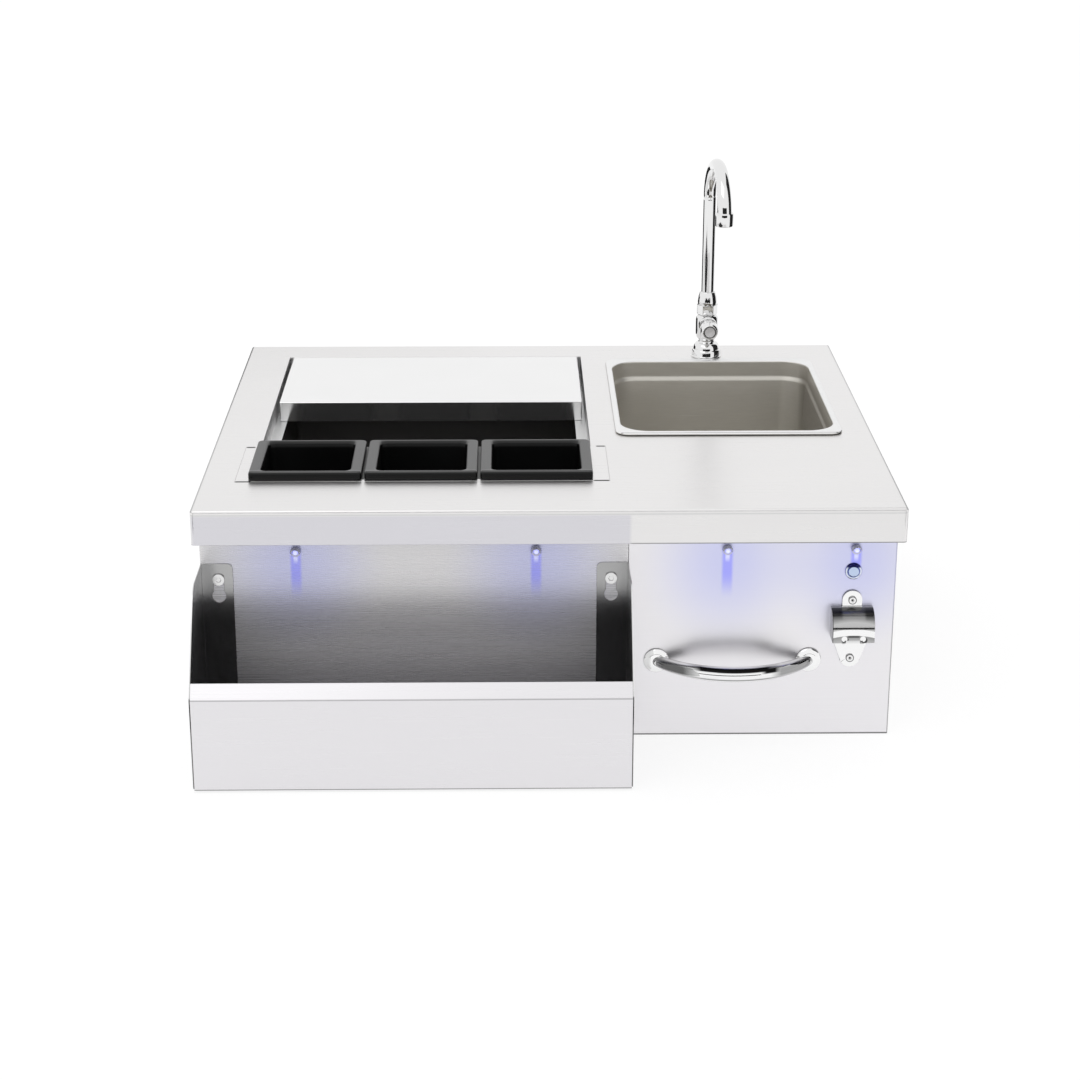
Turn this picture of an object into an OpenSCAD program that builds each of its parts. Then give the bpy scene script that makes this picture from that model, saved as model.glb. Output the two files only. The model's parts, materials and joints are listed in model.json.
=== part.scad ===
// Bar centre for an outdoor counter: a folded stainless top with a small sink and
// a gooseneck faucet on the right, an insulated ice bin with a sliding lid and three
// condiment trays on the left, and a speed rail that hangs on the front panel.
// Millimetres. X runs to the right, Y to the back, Z up. The origin lies on the plane
// that the housing stands on, under the middle of the whole unit.

/* [Countertop] */
// Width of the countertop
top_w = 762; // [750:1:1000]
// Depth of the countertop from apron to back edge
top_d = 660; // [640:1:900]
// Height of the folded apron
apron_h = 39; // [30:1:55]
// Outer radius of the folds along the countertop's edges
fold_r = 3; // [2.5:0.5:6]
// Radius of the upright corners of the countertop
corner_r = 4; // [3:0.5:10]
// Thickness of the stainless sheet
sheet = 1.2; // [0.9:0.1:1.6]

/* [Housing] */
// Height of the countertop's face above the base
body_h = 280; // [270:1:400]
// Set-back of the front panels from the apron
front_set = 40; // [25:1:60]
// Set-back of the rear panel from the countertop's back edge
rear_set = 24; // [15:1:26]
// Gap between the side panels and the folds of the countertop
side_gap = 0.2; // [0.1:0.1:3]
// Width of the folded flanges on the panels
flange_w = 15; // [12:1:20]
// Open seam between the two front panels
seam_gap = 0.4; // [0.2:0.1:1]
// Radius of the holes that fix the housing in its cut-out
fix_r = 3; // [2.5:0.5:5]
// Distance of the fixing holes along the depth
fix_span_y = 460; // [300:1:480]
// Distance of the fixing holes along the height
fix_span_z = 140; // [80:1:150]

/* [Ice bin] */
// Width of the recess that holds the lid
bin_w = 377; // [360:1:390]
// Countertop left of the recess
bin_margin = 54.5; // [50:0.5:60]
// Countertop behind the recess
bin_rear = 54; // [50:1:60]
// Drop from the countertop to the lid's ledges
ledge_drop = 25; // [20:1:35]
// Width of the lid's ledges
ledge_w = 13; // [10:1:20]
// Depth of the liner below its flange
liner_depth = 186; // [120:1:190]
// Wall of the plastic liner
liner_wall = 2.5; // [2:0.1:4]
// Thickness of the insulation
foam_t = 20; // [12:1:22]
// Sheet of the bin's outer shell
shell_t = 0.8; // [0.6:0.1:1.2]
// Outer radius of the bin's drain tube
bin_drain_r = 10.4; // [8:0.1:12]

/* [Lid] */
// Gap between the lid and each side of its recess
lid_side_gap = 6; // [2:0.5:10]
// Depth of the sliding lid
lid_d = 202; // [150:1:240]
// Gap behind the closed-up lid
lid_back_gap = 0.8; // [0.5:0.1:3]

/* [Trays] */
// Margin of the trays' plate beside the outer trays
tray_edge = 15.6; // [12:0.2:22]
// Depth of a tray's rim
tray_d = 122.6; // [100:0.2:126]
// Height of a tray's rim
tray_rim_h = 7.8; // [5:0.2:12]
// Depth of a tray below its rim
tray_depth = 90; // [50:1:110]
// Gap between two trays
tray_gap = 3.4; // [1:0.2:8]
// Wall of a tray
tray_wall = 2.5; // [1.5:0.1:3]
// How far the trays' plate reaches past each side of the recess
plate_over = 16.5; // [12:0.5:22]
// Distance of the plate from the apron
plate_set = 97; // [90:1:110]

/* [Sink] */
// Width over the sink's rim
sink_w = 265; // [240:1:270]
// Depth over the sink's rim
sink_d = 325; // [300:1:330]
// Width of the bowl's mouth
bowl_w = 250; // [225:1:252]
// Depth of the bowl's mouth
bowl_d = 300; // [270:1:305]
// Corner radius of the bowl's mouth
bowl_r = 33; // [25:1:40]
// Height of the bowl from floor to rim
bowl_h = 150; // [110:1:160]
// Countertop right of the sink's rim
sink_margin = 34.5; // [30:0.5:40]
// Countertop behind the sink's rim
sink_rear = 76; // [74:1:90]
// Outer radius of the drain tailpiece
tail_r = 19.05; // [16:0.05:20]
// Radius of the hole in the bowl's floor
drain_hole_r = 26.2; // [25:0.1:30]

/* [Faucet] */
// Distance of the faucet's axis from the back edge
faucet_rear = 53; // [46:1:54]
// Radius of the faucet's base
faucet_base_r = 19.5; // [18:0.5:21]
// Height of the knob's axis above the countertop
knob_h = 44; // [40:1:50]
// Outer radius of the gooseneck tube
spout_r = 8.2; // [7:0.1:9]
// Radius of the gooseneck's bend
spout_bend = 48; // [40:1:60]
// Height of the gooseneck's top above the countertop
spout_h = 266; // [200:1:300]
// Angle that the gooseneck is turned towards the right
spout_turn = 6; // [0:1:40]
// Radius of the threaded shank
shank_r = 10.4; // [9:0.1:11]

/* [Speed rail] */
// Width of the speed rail
rail_w = 464.5; // [440:0.5:480]
// Reach of the speed rail from the front panel
rail_reach = 140; // [120:1:160]
// Height of its front wall
rail_front_h = 103; // [80:1:120]
// Height of its end plates
rail_end_h = 204; // [190:1:206]
// Length of the slanted lip
rail_lip = 18; // [12:1:25]
// Slope of the lip and of the end plates
rail_slope = 55.8; // [45:0.1:65]
// Width of the flanges that lie on the front panel
rail_flange = 35; // [32:1:45]
// Height of the keyholes' upper end above the rail's base
keyhole_h = 185; // [160:1:190]
// Distance of the keyholes from the rail's ends
keyhole_in = 19.3; // [17:0.1:22]
// Drop from a keyhole's slot to its round end
keyhole_drop = 18; // [15:1:22]

/* [Front fittings] */
// Distance of the first light from the left panel's outer end
light_a = 103.5; // [80:0.5:120]
// Distance of the second light from the seam
light_b = 100.3; // [80:0.1:120]
// Distance of the third light from the seam
light_c = 107.5; // [80:0.5:120]
// Distance of the fourth light from the right end
light_d = 44.2; // [30:0.1:60]
// Drop of the lights below the countertop's face
light_drop = 61; // [56:1:70]
// Distance of the button and the opener from the right end
fitting_in = 46.5; // [36:0.5:60]
// Drop of the button below the countertop's face
button_drop = 86; // [80:1:90]
// Drop of the opener's middle below the countertop's face
opener_drop = 153; // [148:1:180]
// Distance between the opener's screws
opener_span = 68; // [60:1:70]
// Distance between the handle's feet
handle_span = 168; // [140:1:180]
// Distance of the handle's middle from the seam
handle_in = 116; // [105:1:130]
// Drop of the handle below the countertop's face
handle_drop = 190; // [150:1:220]
// Stand-off of the handle's bar
handle_out = 42; // [35:1:50]
// Radius of the handle's bar
handle_r = 6.5; // [5:0.5:8]

/* [Hidden] */
$fn = 64;
// Clearances
run = 0.05;
rest_gap = 0.3;
slip = 1;
plate_seam = 0.6;
tray_slack = 1.4;
rail_past_seam = 0.5;
eps = 0.01;
press = 0.02;

// Relief at the end of a thread, below its nut
relief_w = 1;
relief_d = 0.4;

// Planes of the housing
top_z = body_h;
under_z = top_z - sheet;
front_y = (rail_reach - front_set - top_d) / 2;
back_y = front_y + top_d;
mid_y = (front_y + back_y) / 2;
panel_y = front_y + front_set;
panel_in_y = panel_y + sheet;
rear_y = back_y - rear_set;
rear_in_y = rear_y - sheet;
side_x = top_w / 2 - fold_r - side_gap;
seam_x = rail_w - rail_past_seam - side_x;
flange_end = flange_w + 2;
housing_screw_r = 1.75;
housing_screw_l = 7;
housing_screw_z = [flange_end + 15, body_h / 2, under_z - flange_end - 25];
fix_z = body_h / 2 - 10;

// Ice bin
bin_x = bin_margin + (bin_w - top_w) / 2;
bin_left = bin_x - bin_w / 2;
bin_right = bin_x + bin_w / 2;
bin_back = back_y - bin_rear;
plate_w = bin_w + 2 * plate_over;
plate_d = tray_d + tray_slack;
plate_front = front_y + plate_set;
plate_back = plate_front + plate_d;
plate_rest = 6;
collar_front = plate_front + plate_rest;
collar_flange = 8;
ledge_z = top_z - ledge_drop;
ledge_front = plate_back + 3;
flange_z = ledge_z - sheet;
liner_in = 5.5;
liner_r = 8;
liner_x = [bin_left + liner_in, bin_right - liner_in];
liner_y = [collar_front + 2, bin_back - 3];
liner_floor = flange_z - liner_depth;
foam_out = liner_wall + foam_t;
shell_out = foam_out + shell_t;
bin_drain_y = bin_back - 63;
bin_drain_low = 8;
bin_drain_wall = 2.4;
bin_drain_flange = 11;
bin_drain_seat = 2;
bin_nut_h = 9;
bin_nut_over = 8;

// Lid
lid_w = bin_w - 2 * lid_side_gap;
lid_y = bin_back - lid_back_gap - lid_d / 2;
lid_h = ledge_drop - rest_gap;
lid_z = ledge_z + rest_gap;
lid_fold = 2;
lid_liner_z = 1;

// Trays
tray_front_gap = 4;
tray_z = top_z + rest_gap;
tray_y = plate_front + tray_front_gap + tray_d / 2;
tray_set_x = bin_x - 2;
tray_w = (plate_w - 2 * tray_edge - 2 * tray_gap) / 3;
tray_pitch = tray_w + tray_gap;
tray_side = 12.5;
tray_front_rim = 11.6;
tray_back_rim = 7.5;
tray_taper = 5;
tray_r = 8;
tray_rim_r = 5;
plate_lip = 18;
plate_hole_r = 4;
tray_in_w = tray_w - 2 * tray_side;
tray_in_d = tray_d - tray_front_rim - tray_back_rim;
tray_in_y = tray_y + (tray_front_rim - tray_back_rim) / 2;

// Sink
sink_x = top_w / 2 - sink_margin - sink_w / 2;
sink_y = back_y - sink_rear - sink_d / 2;
gasket_t = 0.8;
rim_t = 2;
shoulder_drop = 26;
rim_z = top_z + gasket_t;
bowl_top = rim_z + rim_t;
bowl_floor = bowl_top - bowl_h;
rim_r = 16;
shoulder_z = bowl_top - shoulder_drop;
shoulder_in = 4;
bowl_cut = 2;
// Height above the floor and inset of the bowl's lower curve, from wall to floor
bowl_curve = [[22, 12], [6, 24], [0, 44]];
clip_reach = 12;
clip_half = 10;
clip_h = 18;
clip_t = 1.5;
clip_screw_r = 2.5;
clip_spread = 80;
cup_r = drain_hole_r - 0.2;
cup_wall = 2;
cup_flange = 11;
cup_flange_t = 1.5;
cup_bottom = bowl_floor - 37;
stub_r = tail_r + 1.4;
stub_wall = 3;
stub_bottom = cup_bottom - 16;
tail_wall = 1.2;
tail_bottom = stub_bottom - 56;
washer_h = 3;
lock_nut_h = 9;
slip_nut_h = 20;
slip_nut_low = 8;
basket_r = cup_r - cup_wall - 0.6;
basket_h = 28;

// Faucet
faucet_x = sink_x;
faucet_y = back_y - faucet_rear;
body_r = 14.5;
body_top = knob_h + 12;
neck_top = body_top + 14;
nut_h = 13;
nut_over = 3.4;
nut_top = neck_top + 16;
tube_seat = body_top + 2;
neck_r = spout_r + 1.8;
bend_z = spout_h - spout_r - spout_bend;
outlet_z = bend_z - 10;
spout_wall = 1.2;
aerator_h = 17;
aerator_low = 8;
bonnet_r = 8;
bonnet_in = 12;
bonnet_head = 6;
stem_r = 4;
stem_l = 26;
waterway_r = 5;
shank_in = 17;
shank_l = 75;
faucet_washer_r = shank_r + 9;
faucet_nut_h = 7;
boss_out = 19;
knob_r = 11.6;
knob_out = [27, 49];
knob_grips = [0:60:300];
cap_r = 7.6;
cap_in = 1.5;

// Speed rail
rail_x = [-side_x, -side_x + rail_w];
rail_z = 2;
rail_back = panel_y - rest_gap;
rail_front = panel_y - rail_reach;
slot_r = 5.5;
keyhole_r = 7.5;
hanger_r = 4;
hanger_head_r = 6.6;
hanger_nut_r = 8;
hanger_z = rail_z + keyhole_h + slot_r - hanger_r - rest_gap;
end_fillet = 30;
flange_round = 6;
rail_back_h = 30;
hanger_head_h = 2.5;
hanger_nut_h = 4;

// Front fittings
light_x = [light_a - side_x, seam_x - light_b, seam_x + light_c, side_x - light_d];
light_z = top_z - light_drop;
hood_r = 5.6;
hood_out = 10;
barrel_r = 4;
barrel_l = 18;
hood_wall = 1.1;
lens_r = 3;
lens_in = 12;
lens_out = 2;
button_x = side_x - fitting_in;
button_z = top_z - button_drop;
button_barrel_r = 8;
button_barrel_l = 22;
button_cap_r = 5.75;
button_bore_r = 7;
button_flange_r = 6.8;
button_bezel_r = 9.5;
button_bezel_h = 2.4;
button_nut_h = 4;
button_nut_r = 12.5;
switch_body = 12;
switch_pins = 6;
opener_z = top_z - opener_drop;
opener_t = 2.5;
opener_screw_r = 2.5;
visor_w = 46;
visor_out = 22;
visor_t = 3;
tooth_x = 10;
tooth_r = 2.4;
visor_low = 8;
visor_axis = 4;
opener_end_r = 11;
opener_head_r = 4.6;
opener_head_h = 1.8;
handle_x = seam_x + handle_in;
handle_z = top_z - handle_drop;
rosette_t = 5;
rosette_r = 14;
handle_screw_r = 2.5;
handle_screw_in = 4;

// Lights' driver and wiring
loom_r = 2.5;
loom_seat = 0.2;
loom_y = panel_y + barrel_l + loom_r + loom_seat;
loom_x = side_x - 8;
loom_drop_x = side_x - 30;
driver_size = [90, 30, 45];
driver_x = side_x - 110;
driver_z = 60;
gland_x = side_x - 65;
gland_z = 36;
gland_r = 8;
gland_nut = 5;
gland_in = 16;
gland_out = 11;
gland_bore = 4;

steel = [0.82, 0.82, 0.83];
polished = [0.72, 0.72, 0.75];
chrome = [0.88, 0.88, 0.9];
satin = [0.55, 0.53, 0.47];
black = [0.06, 0.06, 0.06];
foam = [0.9, 0.86, 0.7];
rubber = [0.15, 0.15, 0.15];
glow = [0.35, 0.4, 1];

// ---- Shared shapes ----

module block(low, high) {
    translate(low) cube(high - low);
}

// Rectangle with round corners, centred
module soft_rect(w, d, r) {
    square([w - 2 * r, d], center = true);
    square([w, d - 2 * r], center = true);
    for (x = [-1, 1], y = [-1, 1])
        translate([x * (w / 2 - r), y * (d / 2 - r)]) circle(r);
}

// Rectangle with round corners between two corners
module soft_span(x, y, r) {
    translate([(x[0] + x[1]) / 2, (y[0] + y[1]) / 2])
        soft_rect(x[1] - x[0], y[1] - y[0], r);
}

// End view of a folded pan: the two upper corners are round
module fold_view(w, h, r) {
    translate([-w / 2, 0]) square([w, h - r]);
    translate([r - w / 2, 0]) square([w - 2 * r, h]);
    for (x = [-1, 1]) translate([x * (w / 2 - r), h - r]) circle(r);
}

// Block with folded upper edges and round upright corners
module pan_block(w, d, h, r, upright) {
    intersection() {
        rotate([90, 0, 0]) linear_extrude(d, center = true) fold_view(w, h, r);
        rotate([90, 0, 90]) linear_extrude(w, center = true) fold_view(d, h, r);
        linear_extrude(h) soft_rect(w, d, upright);
    }
}

// A strip of sheet from a to b in a plane, with round ends
module strip(a, b, t) {
    turn = atan2(b[1] - a[1], b[0] - a[0]);
    translate(a) rotate(turn) translate([0, -t / 2]) square([norm(b - a), t]);
    translate(a) circle(t / 2);
    translate(b) circle(t / 2);
}

// Puts a flat drawing on the front panel: its Z points out, towards the user
module on_panel(x, z) {
    translate([x, panel_y, z]) rotate([90, 0, 0]) children();
}

module ring(outer, inner, h) {
    difference() {
        cylinder(r = outer, h = h);
        translate([0, 0, -1]) cylinder(r = inner, h = h + 2);
    }
}

module hex(outer, inner, h) {
    difference() {
        cylinder(r = outer, h = h, $fn = 6);
        translate([0, 0, -1]) cylinder(r = inner, h = h + 2);
    }
}

// Cuts a thread's relief round a rod whose nut starts at zero
module relief(r) {
    translate([0, 0, -relief_w]) ring(r + 1, r - relief_d, relief_w);
}

// Pan-head screw that points down its -Z, with the head's seat at zero
module screw(r, head_r, head_h, l) {
    translate([0, 0, -l]) cylinder(r = r, h = l + eps);
    difference() {
        cylinder(r = head_r, h = head_h);
        translate([0, 0, head_h / 2]) cylinder(r = head_r * 0.45, h = head_h, $fn = 6);
    }
}

// ---- Housing ----

module countertop() {
    color(steel) difference() {
        translate([0, mid_y, top_z - apron_h])
            pan_block(top_w, top_d, apron_h, fold_r, corner_r);
        translate([0, mid_y, top_z - apron_h - 1])
            pan_block(top_w - 2 * sheet, top_d - 2 * sheet, apron_h + 1 - sheet,
                fold_r - sheet, corner_r - sheet);
        block([bin_left, collar_front, under_z - 1], [bin_right, bin_back, top_z + 1]);
        block([bin_x - plate_w / 2 - plate_seam, plate_front - plate_seam, under_z - 1],
            [bin_x + plate_w / 2 + plate_seam, plate_back + plate_seam, top_z + 1]);
        translate([sink_x, sink_y, under_z - 1]) linear_extrude(sheet + 2)
            soft_rect(bowl_w + 2 * sheet + 2 * bowl_cut, bowl_d + 2 * sheet + 2 * bowl_cut,
                bowl_r + sheet + bowl_cut);
        translate([faucet_x, faucet_y, under_z - 1]) cylinder(r = shank_r + run, h = sheet + 2);
    }
}

// One front panel between two planes; seam_side is 1 or -1 where its seam flange is
module front_panel(x, seam_side) {
    low = seam_side > 0 ? x[0] + flange_end : x[0];
    high = seam_side > 0 ? x[1] : x[1] - flange_end;
    seam = seam_side > 0 ? x[1] - sheet : x[0];
    block([x[0], panel_y, 0], [x[1], panel_in_y, under_z]);
    block([low, panel_y, 0], [high, panel_y + flange_w, sheet]);
    block([low, panel_y, under_z - sheet], [high, panel_y + flange_w, under_z]);
    block([seam, panel_y, 0], [seam + sheet, panel_y + flange_w, under_z]);
}

module panel_light_holes(which) {
    for (i = which) on_panel(light_x[i], light_z)
        translate([0, 0, -2 * sheet]) cylinder(r = barrel_r + run, h = 3 * sheet);
}

module front_panel_left() {
    color(steel) difference() {
        front_panel([-side_x, seam_x - seam_gap / 2], 1);
        panel_light_holes([0, 1]);
        for (x = [rail_x[0] + keyhole_in, rail_x[1] - keyhole_in]) on_panel(x, hanger_z)
            translate([0, 0, -2 * sheet]) cylinder(r = hanger_r + run, h = 3 * sheet);
    }
}

module front_panel_right() {
    color(steel) difference() {
        front_panel([seam_x + seam_gap / 2, side_x], -1);
        panel_light_holes([2, 3]);
        on_panel(button_x, button_z)
            translate([0, 0, -2 * sheet]) cylinder(r = button_barrel_r + run, h = 3 * sheet);
        for (s = [-1, 1]) on_panel(button_x, opener_z + s * opener_span / 2)
            translate([0, 0, -2 * sheet]) cylinder(r = opener_screw_r + run, h = 3 * sheet);
        for (s = [-1, 1]) on_panel(handle_x + s * handle_span / 2, handle_z)
            translate([0, 0, -2 * sheet]) cylinder(r = handle_screw_r + run, h = 3 * sheet);
    }
}

// The right-hand side panel; the left-hand one is its mirror image
module side_panel() {
    difference() {
        union() {
            block([side_x - sheet, panel_in_y, 0], [side_x, rear_in_y, under_z]);
            block([side_x - flange_w, panel_in_y, flange_end],
                [side_x, panel_in_y + sheet, under_z - flange_end]);
            block([side_x - flange_w, rear_in_y - sheet, flange_end],
                [side_x, rear_in_y, under_z - flange_end]);
            for (z = [0, under_z - sheet])
                block([side_x - flange_w, panel_in_y + flange_end, z],
                    [side_x, rear_in_y - flange_end, z + sheet]);
        }
        for (y = [-1, 1], z = [-1, 1])
            translate([side_x - 2 * sheet, mid_y + y * fix_span_y / 2, fix_z + z * fix_span_z / 2])
                rotate([0, 90, 0]) cylinder(r = fix_r, h = 3 * sheet);
        housing_screw_places() translate([0, 0, -housing_screw_l - 1])
            cylinder(r = housing_screw_r + run, h = housing_screw_l + 3);
    }
}

module side_panel_left() {
    color(steel) difference() {
        mirror([1, 0, 0]) side_panel();
        on_panel(rail_x[0] + keyhole_in, hanger_z)
            translate([0, 0, -4 * sheet]) cylinder(r = hanger_nut_r + slip, h = 4 * sheet);
    }
}

module side_panel_right() {
    color(steel) side_panel();
}

module housing_screw_places() {
    for (s = [-1, 1], z = housing_screw_z)
        translate([s * (side_x - flange_w / 2), rear_y, z]) rotate([-90, 0, 0]) children();
}

module rear_panel() {
    color(steel) difference() {
        union() {
            block([-side_x, rear_in_y, 0], [side_x, rear_y, under_z]);
            for (z = [0, under_z - sheet])
                block([flange_end - side_x, rear_y - flange_w, z],
                    [side_x - flange_end, rear_y, z + sheet]);
        }
        housing_screw_places() translate([0, 0, -housing_screw_l - 1])
            cylinder(r = housing_screw_r + run, h = housing_screw_l + 3);
        translate([gland_x, rear_y + 1, gland_z]) rotate([90, 0, 0])
            cylinder(r = gland_r + run, h = sheet + 2);
        intersection() {
            translate([faucet_x, faucet_y, under_z - 2 * sheet])
                cylinder(r = faucet_washer_r + slip, h = 3 * sheet);
            block([-side_x, 0, 0], [side_x, rear_in_y, body_h]);
        }
    }
}

module housing_screws() {
    color(chrome) housing_screw_places() screw(housing_screw_r, 2 * housing_screw_r, 2, housing_screw_l);
}

// ---- Ice bin ----

module bin_collar() {
    color(steel) difference() {
        union() {
            block([bin_left - sheet, collar_front - sheet, flange_z],
                [bin_right + sheet, bin_back + sheet, under_z]);
            block([bin_left - collar_flange, plate_back, under_z - sheet],
                [bin_right + collar_flange, bin_back + collar_flange, under_z]);
            block([bin_x - plate_w / 2 - collar_flange, plate_front - collar_flange,
                under_z - sheet], [bin_x + plate_w / 2 + collar_flange,
                plate_back + collar_flange, under_z]);
        }
        block([bin_left, collar_front, ledge_z], [bin_right, bin_back, top_z]);
        block([bin_left, collar_front, flange_z - 1], [bin_right, ledge_front, top_z]);
        block([bin_left + ledge_w, ledge_front - 1, flange_z - 1],
            [bin_right - ledge_w, bin_back - ledge_w, top_z]);
    }
}

// The liner's plan, grown outwards by a wall
module liner_plan(grow) {
    soft_span(liner_x + [-grow, grow], liner_y + [-grow, grow], liner_r + grow);
}

module bin_liner() {
    color(black) difference() {
        union() {
            translate([0, 0, liner_floor - liner_wall])
                linear_extrude(liner_depth + liner_wall) liner_plan(liner_wall);
            translate([0, 0, flange_z - liner_wall])
                linear_extrude(liner_wall) liner_plan(shell_out);
        }
        translate([0, 0, liner_floor]) linear_extrude(liner_depth + 1) liner_plan(0);
        translate([bin_x, bin_drain_y, 0]) cylinder(r = bin_drain_r + run, h = body_h);
    }
}

module bin_insulation() {
    color(foam) difference() {
        translate([0, 0, liner_floor - foam_out])
            linear_extrude(liner_depth + foam_t) liner_plan(foam_out);
        translate([0, 0, liner_floor - liner_wall])
            linear_extrude(liner_depth + foam_t) liner_plan(liner_wall);
        translate([bin_x, bin_drain_y, 0]) cylinder(r = bin_drain_r + run, h = body_h);
    }
}

module bin_shell() {
    color(steel) difference() {
        translate([0, 0, liner_floor - shell_out])
            linear_extrude(liner_depth + foam_t + shell_t) liner_plan(shell_out);
        translate([0, 0, liner_floor - foam_out])
            linear_extrude(liner_depth + foam_t + 1) liner_plan(foam_out);
        translate([bin_x, bin_drain_y, 0]) cylinder(r = bin_drain_r + run, h = body_h);
    }
}

module bin_drain() {
    color(black) translate([bin_x, bin_drain_y, 0]) difference() {
        union() {
            translate([0, 0, liner_floor])
                cylinder(r = bin_drain_r + bin_drain_flange, h = bin_drain_seat);
            translate([0, 0, bin_drain_low])
                cylinder(r = bin_drain_r, h = liner_floor - bin_drain_low + 1);
        }
        translate([0, 0, bin_drain_low - 1])
            cylinder(r = bin_drain_r - bin_drain_wall, h = body_h);
        translate([0, 0, liner_floor - shell_out - bin_nut_h]) relief(bin_drain_r);
    }
}

module bin_drain_nut() {
    color(black) translate([bin_x, bin_drain_y, liner_floor - shell_out - bin_nut_h])
        hex(bin_drain_r + bin_nut_over, bin_drain_r + run, bin_nut_h);
}

// ---- Trays ----

function tray_x(i) = tray_set_x + (i - 1) * tray_pitch;

module tray_plate() {
    color(steel) difference() {
        union() {
            block([bin_x - plate_w / 2, plate_front, under_z],
                [bin_x + plate_w / 2, plate_back, top_z]);
            block([bin_left + slip, plate_back - sheet, under_z - plate_lip],
                [bin_right - slip, plate_back, under_z]);
        }
        for (i = [0:2]) translate([tray_x(i), 0, under_z - 1])
            linear_extrude(sheet + 2)
                soft_span([-1, 1] * (tray_in_w / 2 + tray_wall + slip),
                    [tray_in_y - tray_in_d / 2 - tray_wall - slip, plate_back - sheet],
                    plate_hole_r);
    }
}

// The tray's hollow, grown outwards by a wall
module tray_form(grow, top, bottom) {
    hull() {
        translate([0, 0, top - eps]) linear_extrude(eps)
            soft_rect(tray_in_w + 2 * grow, tray_in_d + 2 * grow, tray_r + grow, $fn = 32);
        translate([0, 0, bottom]) linear_extrude(eps)
            soft_rect(tray_in_w + 2 * grow - 2 * tray_taper,
                tray_in_d + 2 * grow - 2 * tray_taper, tray_r + grow, $fn = 32);
    }
}

module tray(i) {
    color(black) difference() {
        union() {
            translate([tray_x(i), tray_y, tray_z]) linear_extrude(tray_rim_h)
                soft_rect(tray_w, tray_d, tray_rim_r);
            translate([tray_x(i), tray_in_y, 0])
                tray_form(tray_wall, tray_z + 1, tray_z - tray_depth);
        }
        translate([tray_x(i), tray_in_y, 0])
            tray_form(0, tray_z + tray_rim_h + eps, tray_z - tray_depth + tray_wall);
    }
}

module tray_left() {
    tray(0);
}

module tray_middle() {
    tray(1);
}

module tray_right() {
    tray(2);
}

// ---- Lid ----

// Block that fits into the lid's pan
module lid_fill(h) {
    pan_block(lid_w - 2 * sheet, lid_d - 2 * sheet, h, lid_fold - sheet, lid_fold - sheet);
}

module lid_pan() {
    color(polished) translate([bin_x, lid_y, lid_z]) difference() {
        pan_block(lid_w, lid_d, lid_h, lid_fold, lid_fold);
        translate([0, 0, -1])
            lid_fill(lid_h + 1 - sheet);
    }
}

module lid_liner() {
    color(polished) translate([bin_x, lid_y, lid_z + lid_liner_z]) linear_extrude(sheet)
        soft_rect(lid_w - 2 * sheet, lid_d - 2 * sheet, lid_fold - sheet);
}

module lid_core() {
    color(foam) translate([bin_x, lid_y, lid_z + lid_liner_z + sheet])
        lid_fill(lid_h - lid_liner_z - 2 * sheet);
}

// ---- Sink ----

// The bowl's hollow, grown outwards by its wall
module bowl_form(grow, top) {
    step_w = bowl_w - 2 * shoulder_in + 2 * grow;
    step_d = bowl_d - 2 * shoulder_in + 2 * grow;
    step_r = bowl_r - shoulder_in + grow;
    translate([0, 0, shoulder_z - grow]) linear_extrude(top - shoulder_z + grow)
        soft_rect(bowl_w + 2 * grow, bowl_d + 2 * grow, bowl_r + grow);
    hull() {
        translate([0, 0, shoulder_z - grow - eps / 2]) linear_extrude(eps)
            soft_rect(step_w, step_d, step_r, $fn = 32);
        for (c = bowl_curve) translate([0, 0, bowl_floor + c[0] - grow]) linear_extrude(eps)
            soft_rect(step_w - c[1], step_d - c[1], step_r - (c[0] > 0 ? 0 : 6), $fn = 32);
    }
}

module sink_bowl() {
    color(satin) translate([sink_x, sink_y, 0]) difference() {
        union() {
            translate([0, 0, rim_z]) linear_extrude(rim_t) soft_rect(sink_w, sink_d, rim_r);
            bowl_form(sheet, rim_z + rim_t / 2);
        }
        bowl_form(0, bowl_top + 1);
        translate([0, 0, bowl_floor - 5]) cylinder(r = drain_hole_r, h = 10);
    }
}

module sink_gasket() {
    color(rubber) translate([sink_x, sink_y, top_z]) linear_extrude(gasket_t) difference() {
        soft_rect(sink_w - 2, sink_d - 2, rim_r - 1);
        soft_rect(bowl_w + 2 * sheet + 2 * bowl_cut, bowl_d + 2 * sheet + 2 * bowl_cut,
            bowl_r + sheet + bowl_cut);
    }
}

// A clip hooks under the countertop and is screwed up from below
module sink_clip() {
    block([0, -clip_half, -clip_h], [clip_t, clip_half, 0]);
    block([0, -clip_half, -2], [clip_reach, clip_half, 0]);
    translate([clip_reach - 2 * clip_screw_r, 0, 2 - clip_h]) cylinder(r = clip_screw_r, h = clip_h - 3);
}

module sink_clips() {
    reach_x = bowl_w / 2 + sheet + run;
    reach_y = bowl_d / 2 + sheet + run;
    color(polished) translate([sink_x, sink_y, under_z]) {
        for (s = [0, 180], y = [-clip_spread, clip_spread])
            rotate(s) translate([reach_x, y, 0]) sink_clip();
        for (s = [90, 270]) rotate(s) translate([reach_y, 0, 0]) sink_clip();
    }
}

module drain_cup() {
    color(chrome) translate([sink_x, sink_y, 0]) difference() {
        union() {
            translate([0, 0, bowl_floor]) cylinder(r = cup_r + cup_flange, h = cup_flange_t);
            translate([0, 0, cup_bottom]) cylinder(r = cup_r, h = bowl_floor - cup_bottom + 1);
            translate([0, 0, stub_bottom]) cylinder(r = stub_r, h = cup_bottom - stub_bottom + 1);
        }
        translate([0, 0, cup_bottom + cup_wall]) cylinder(r = cup_r - cup_wall, h = body_h);
        translate([0, 0, stub_bottom - 1]) cylinder(r = stub_r - stub_wall, h = body_h);
    }
}

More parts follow.
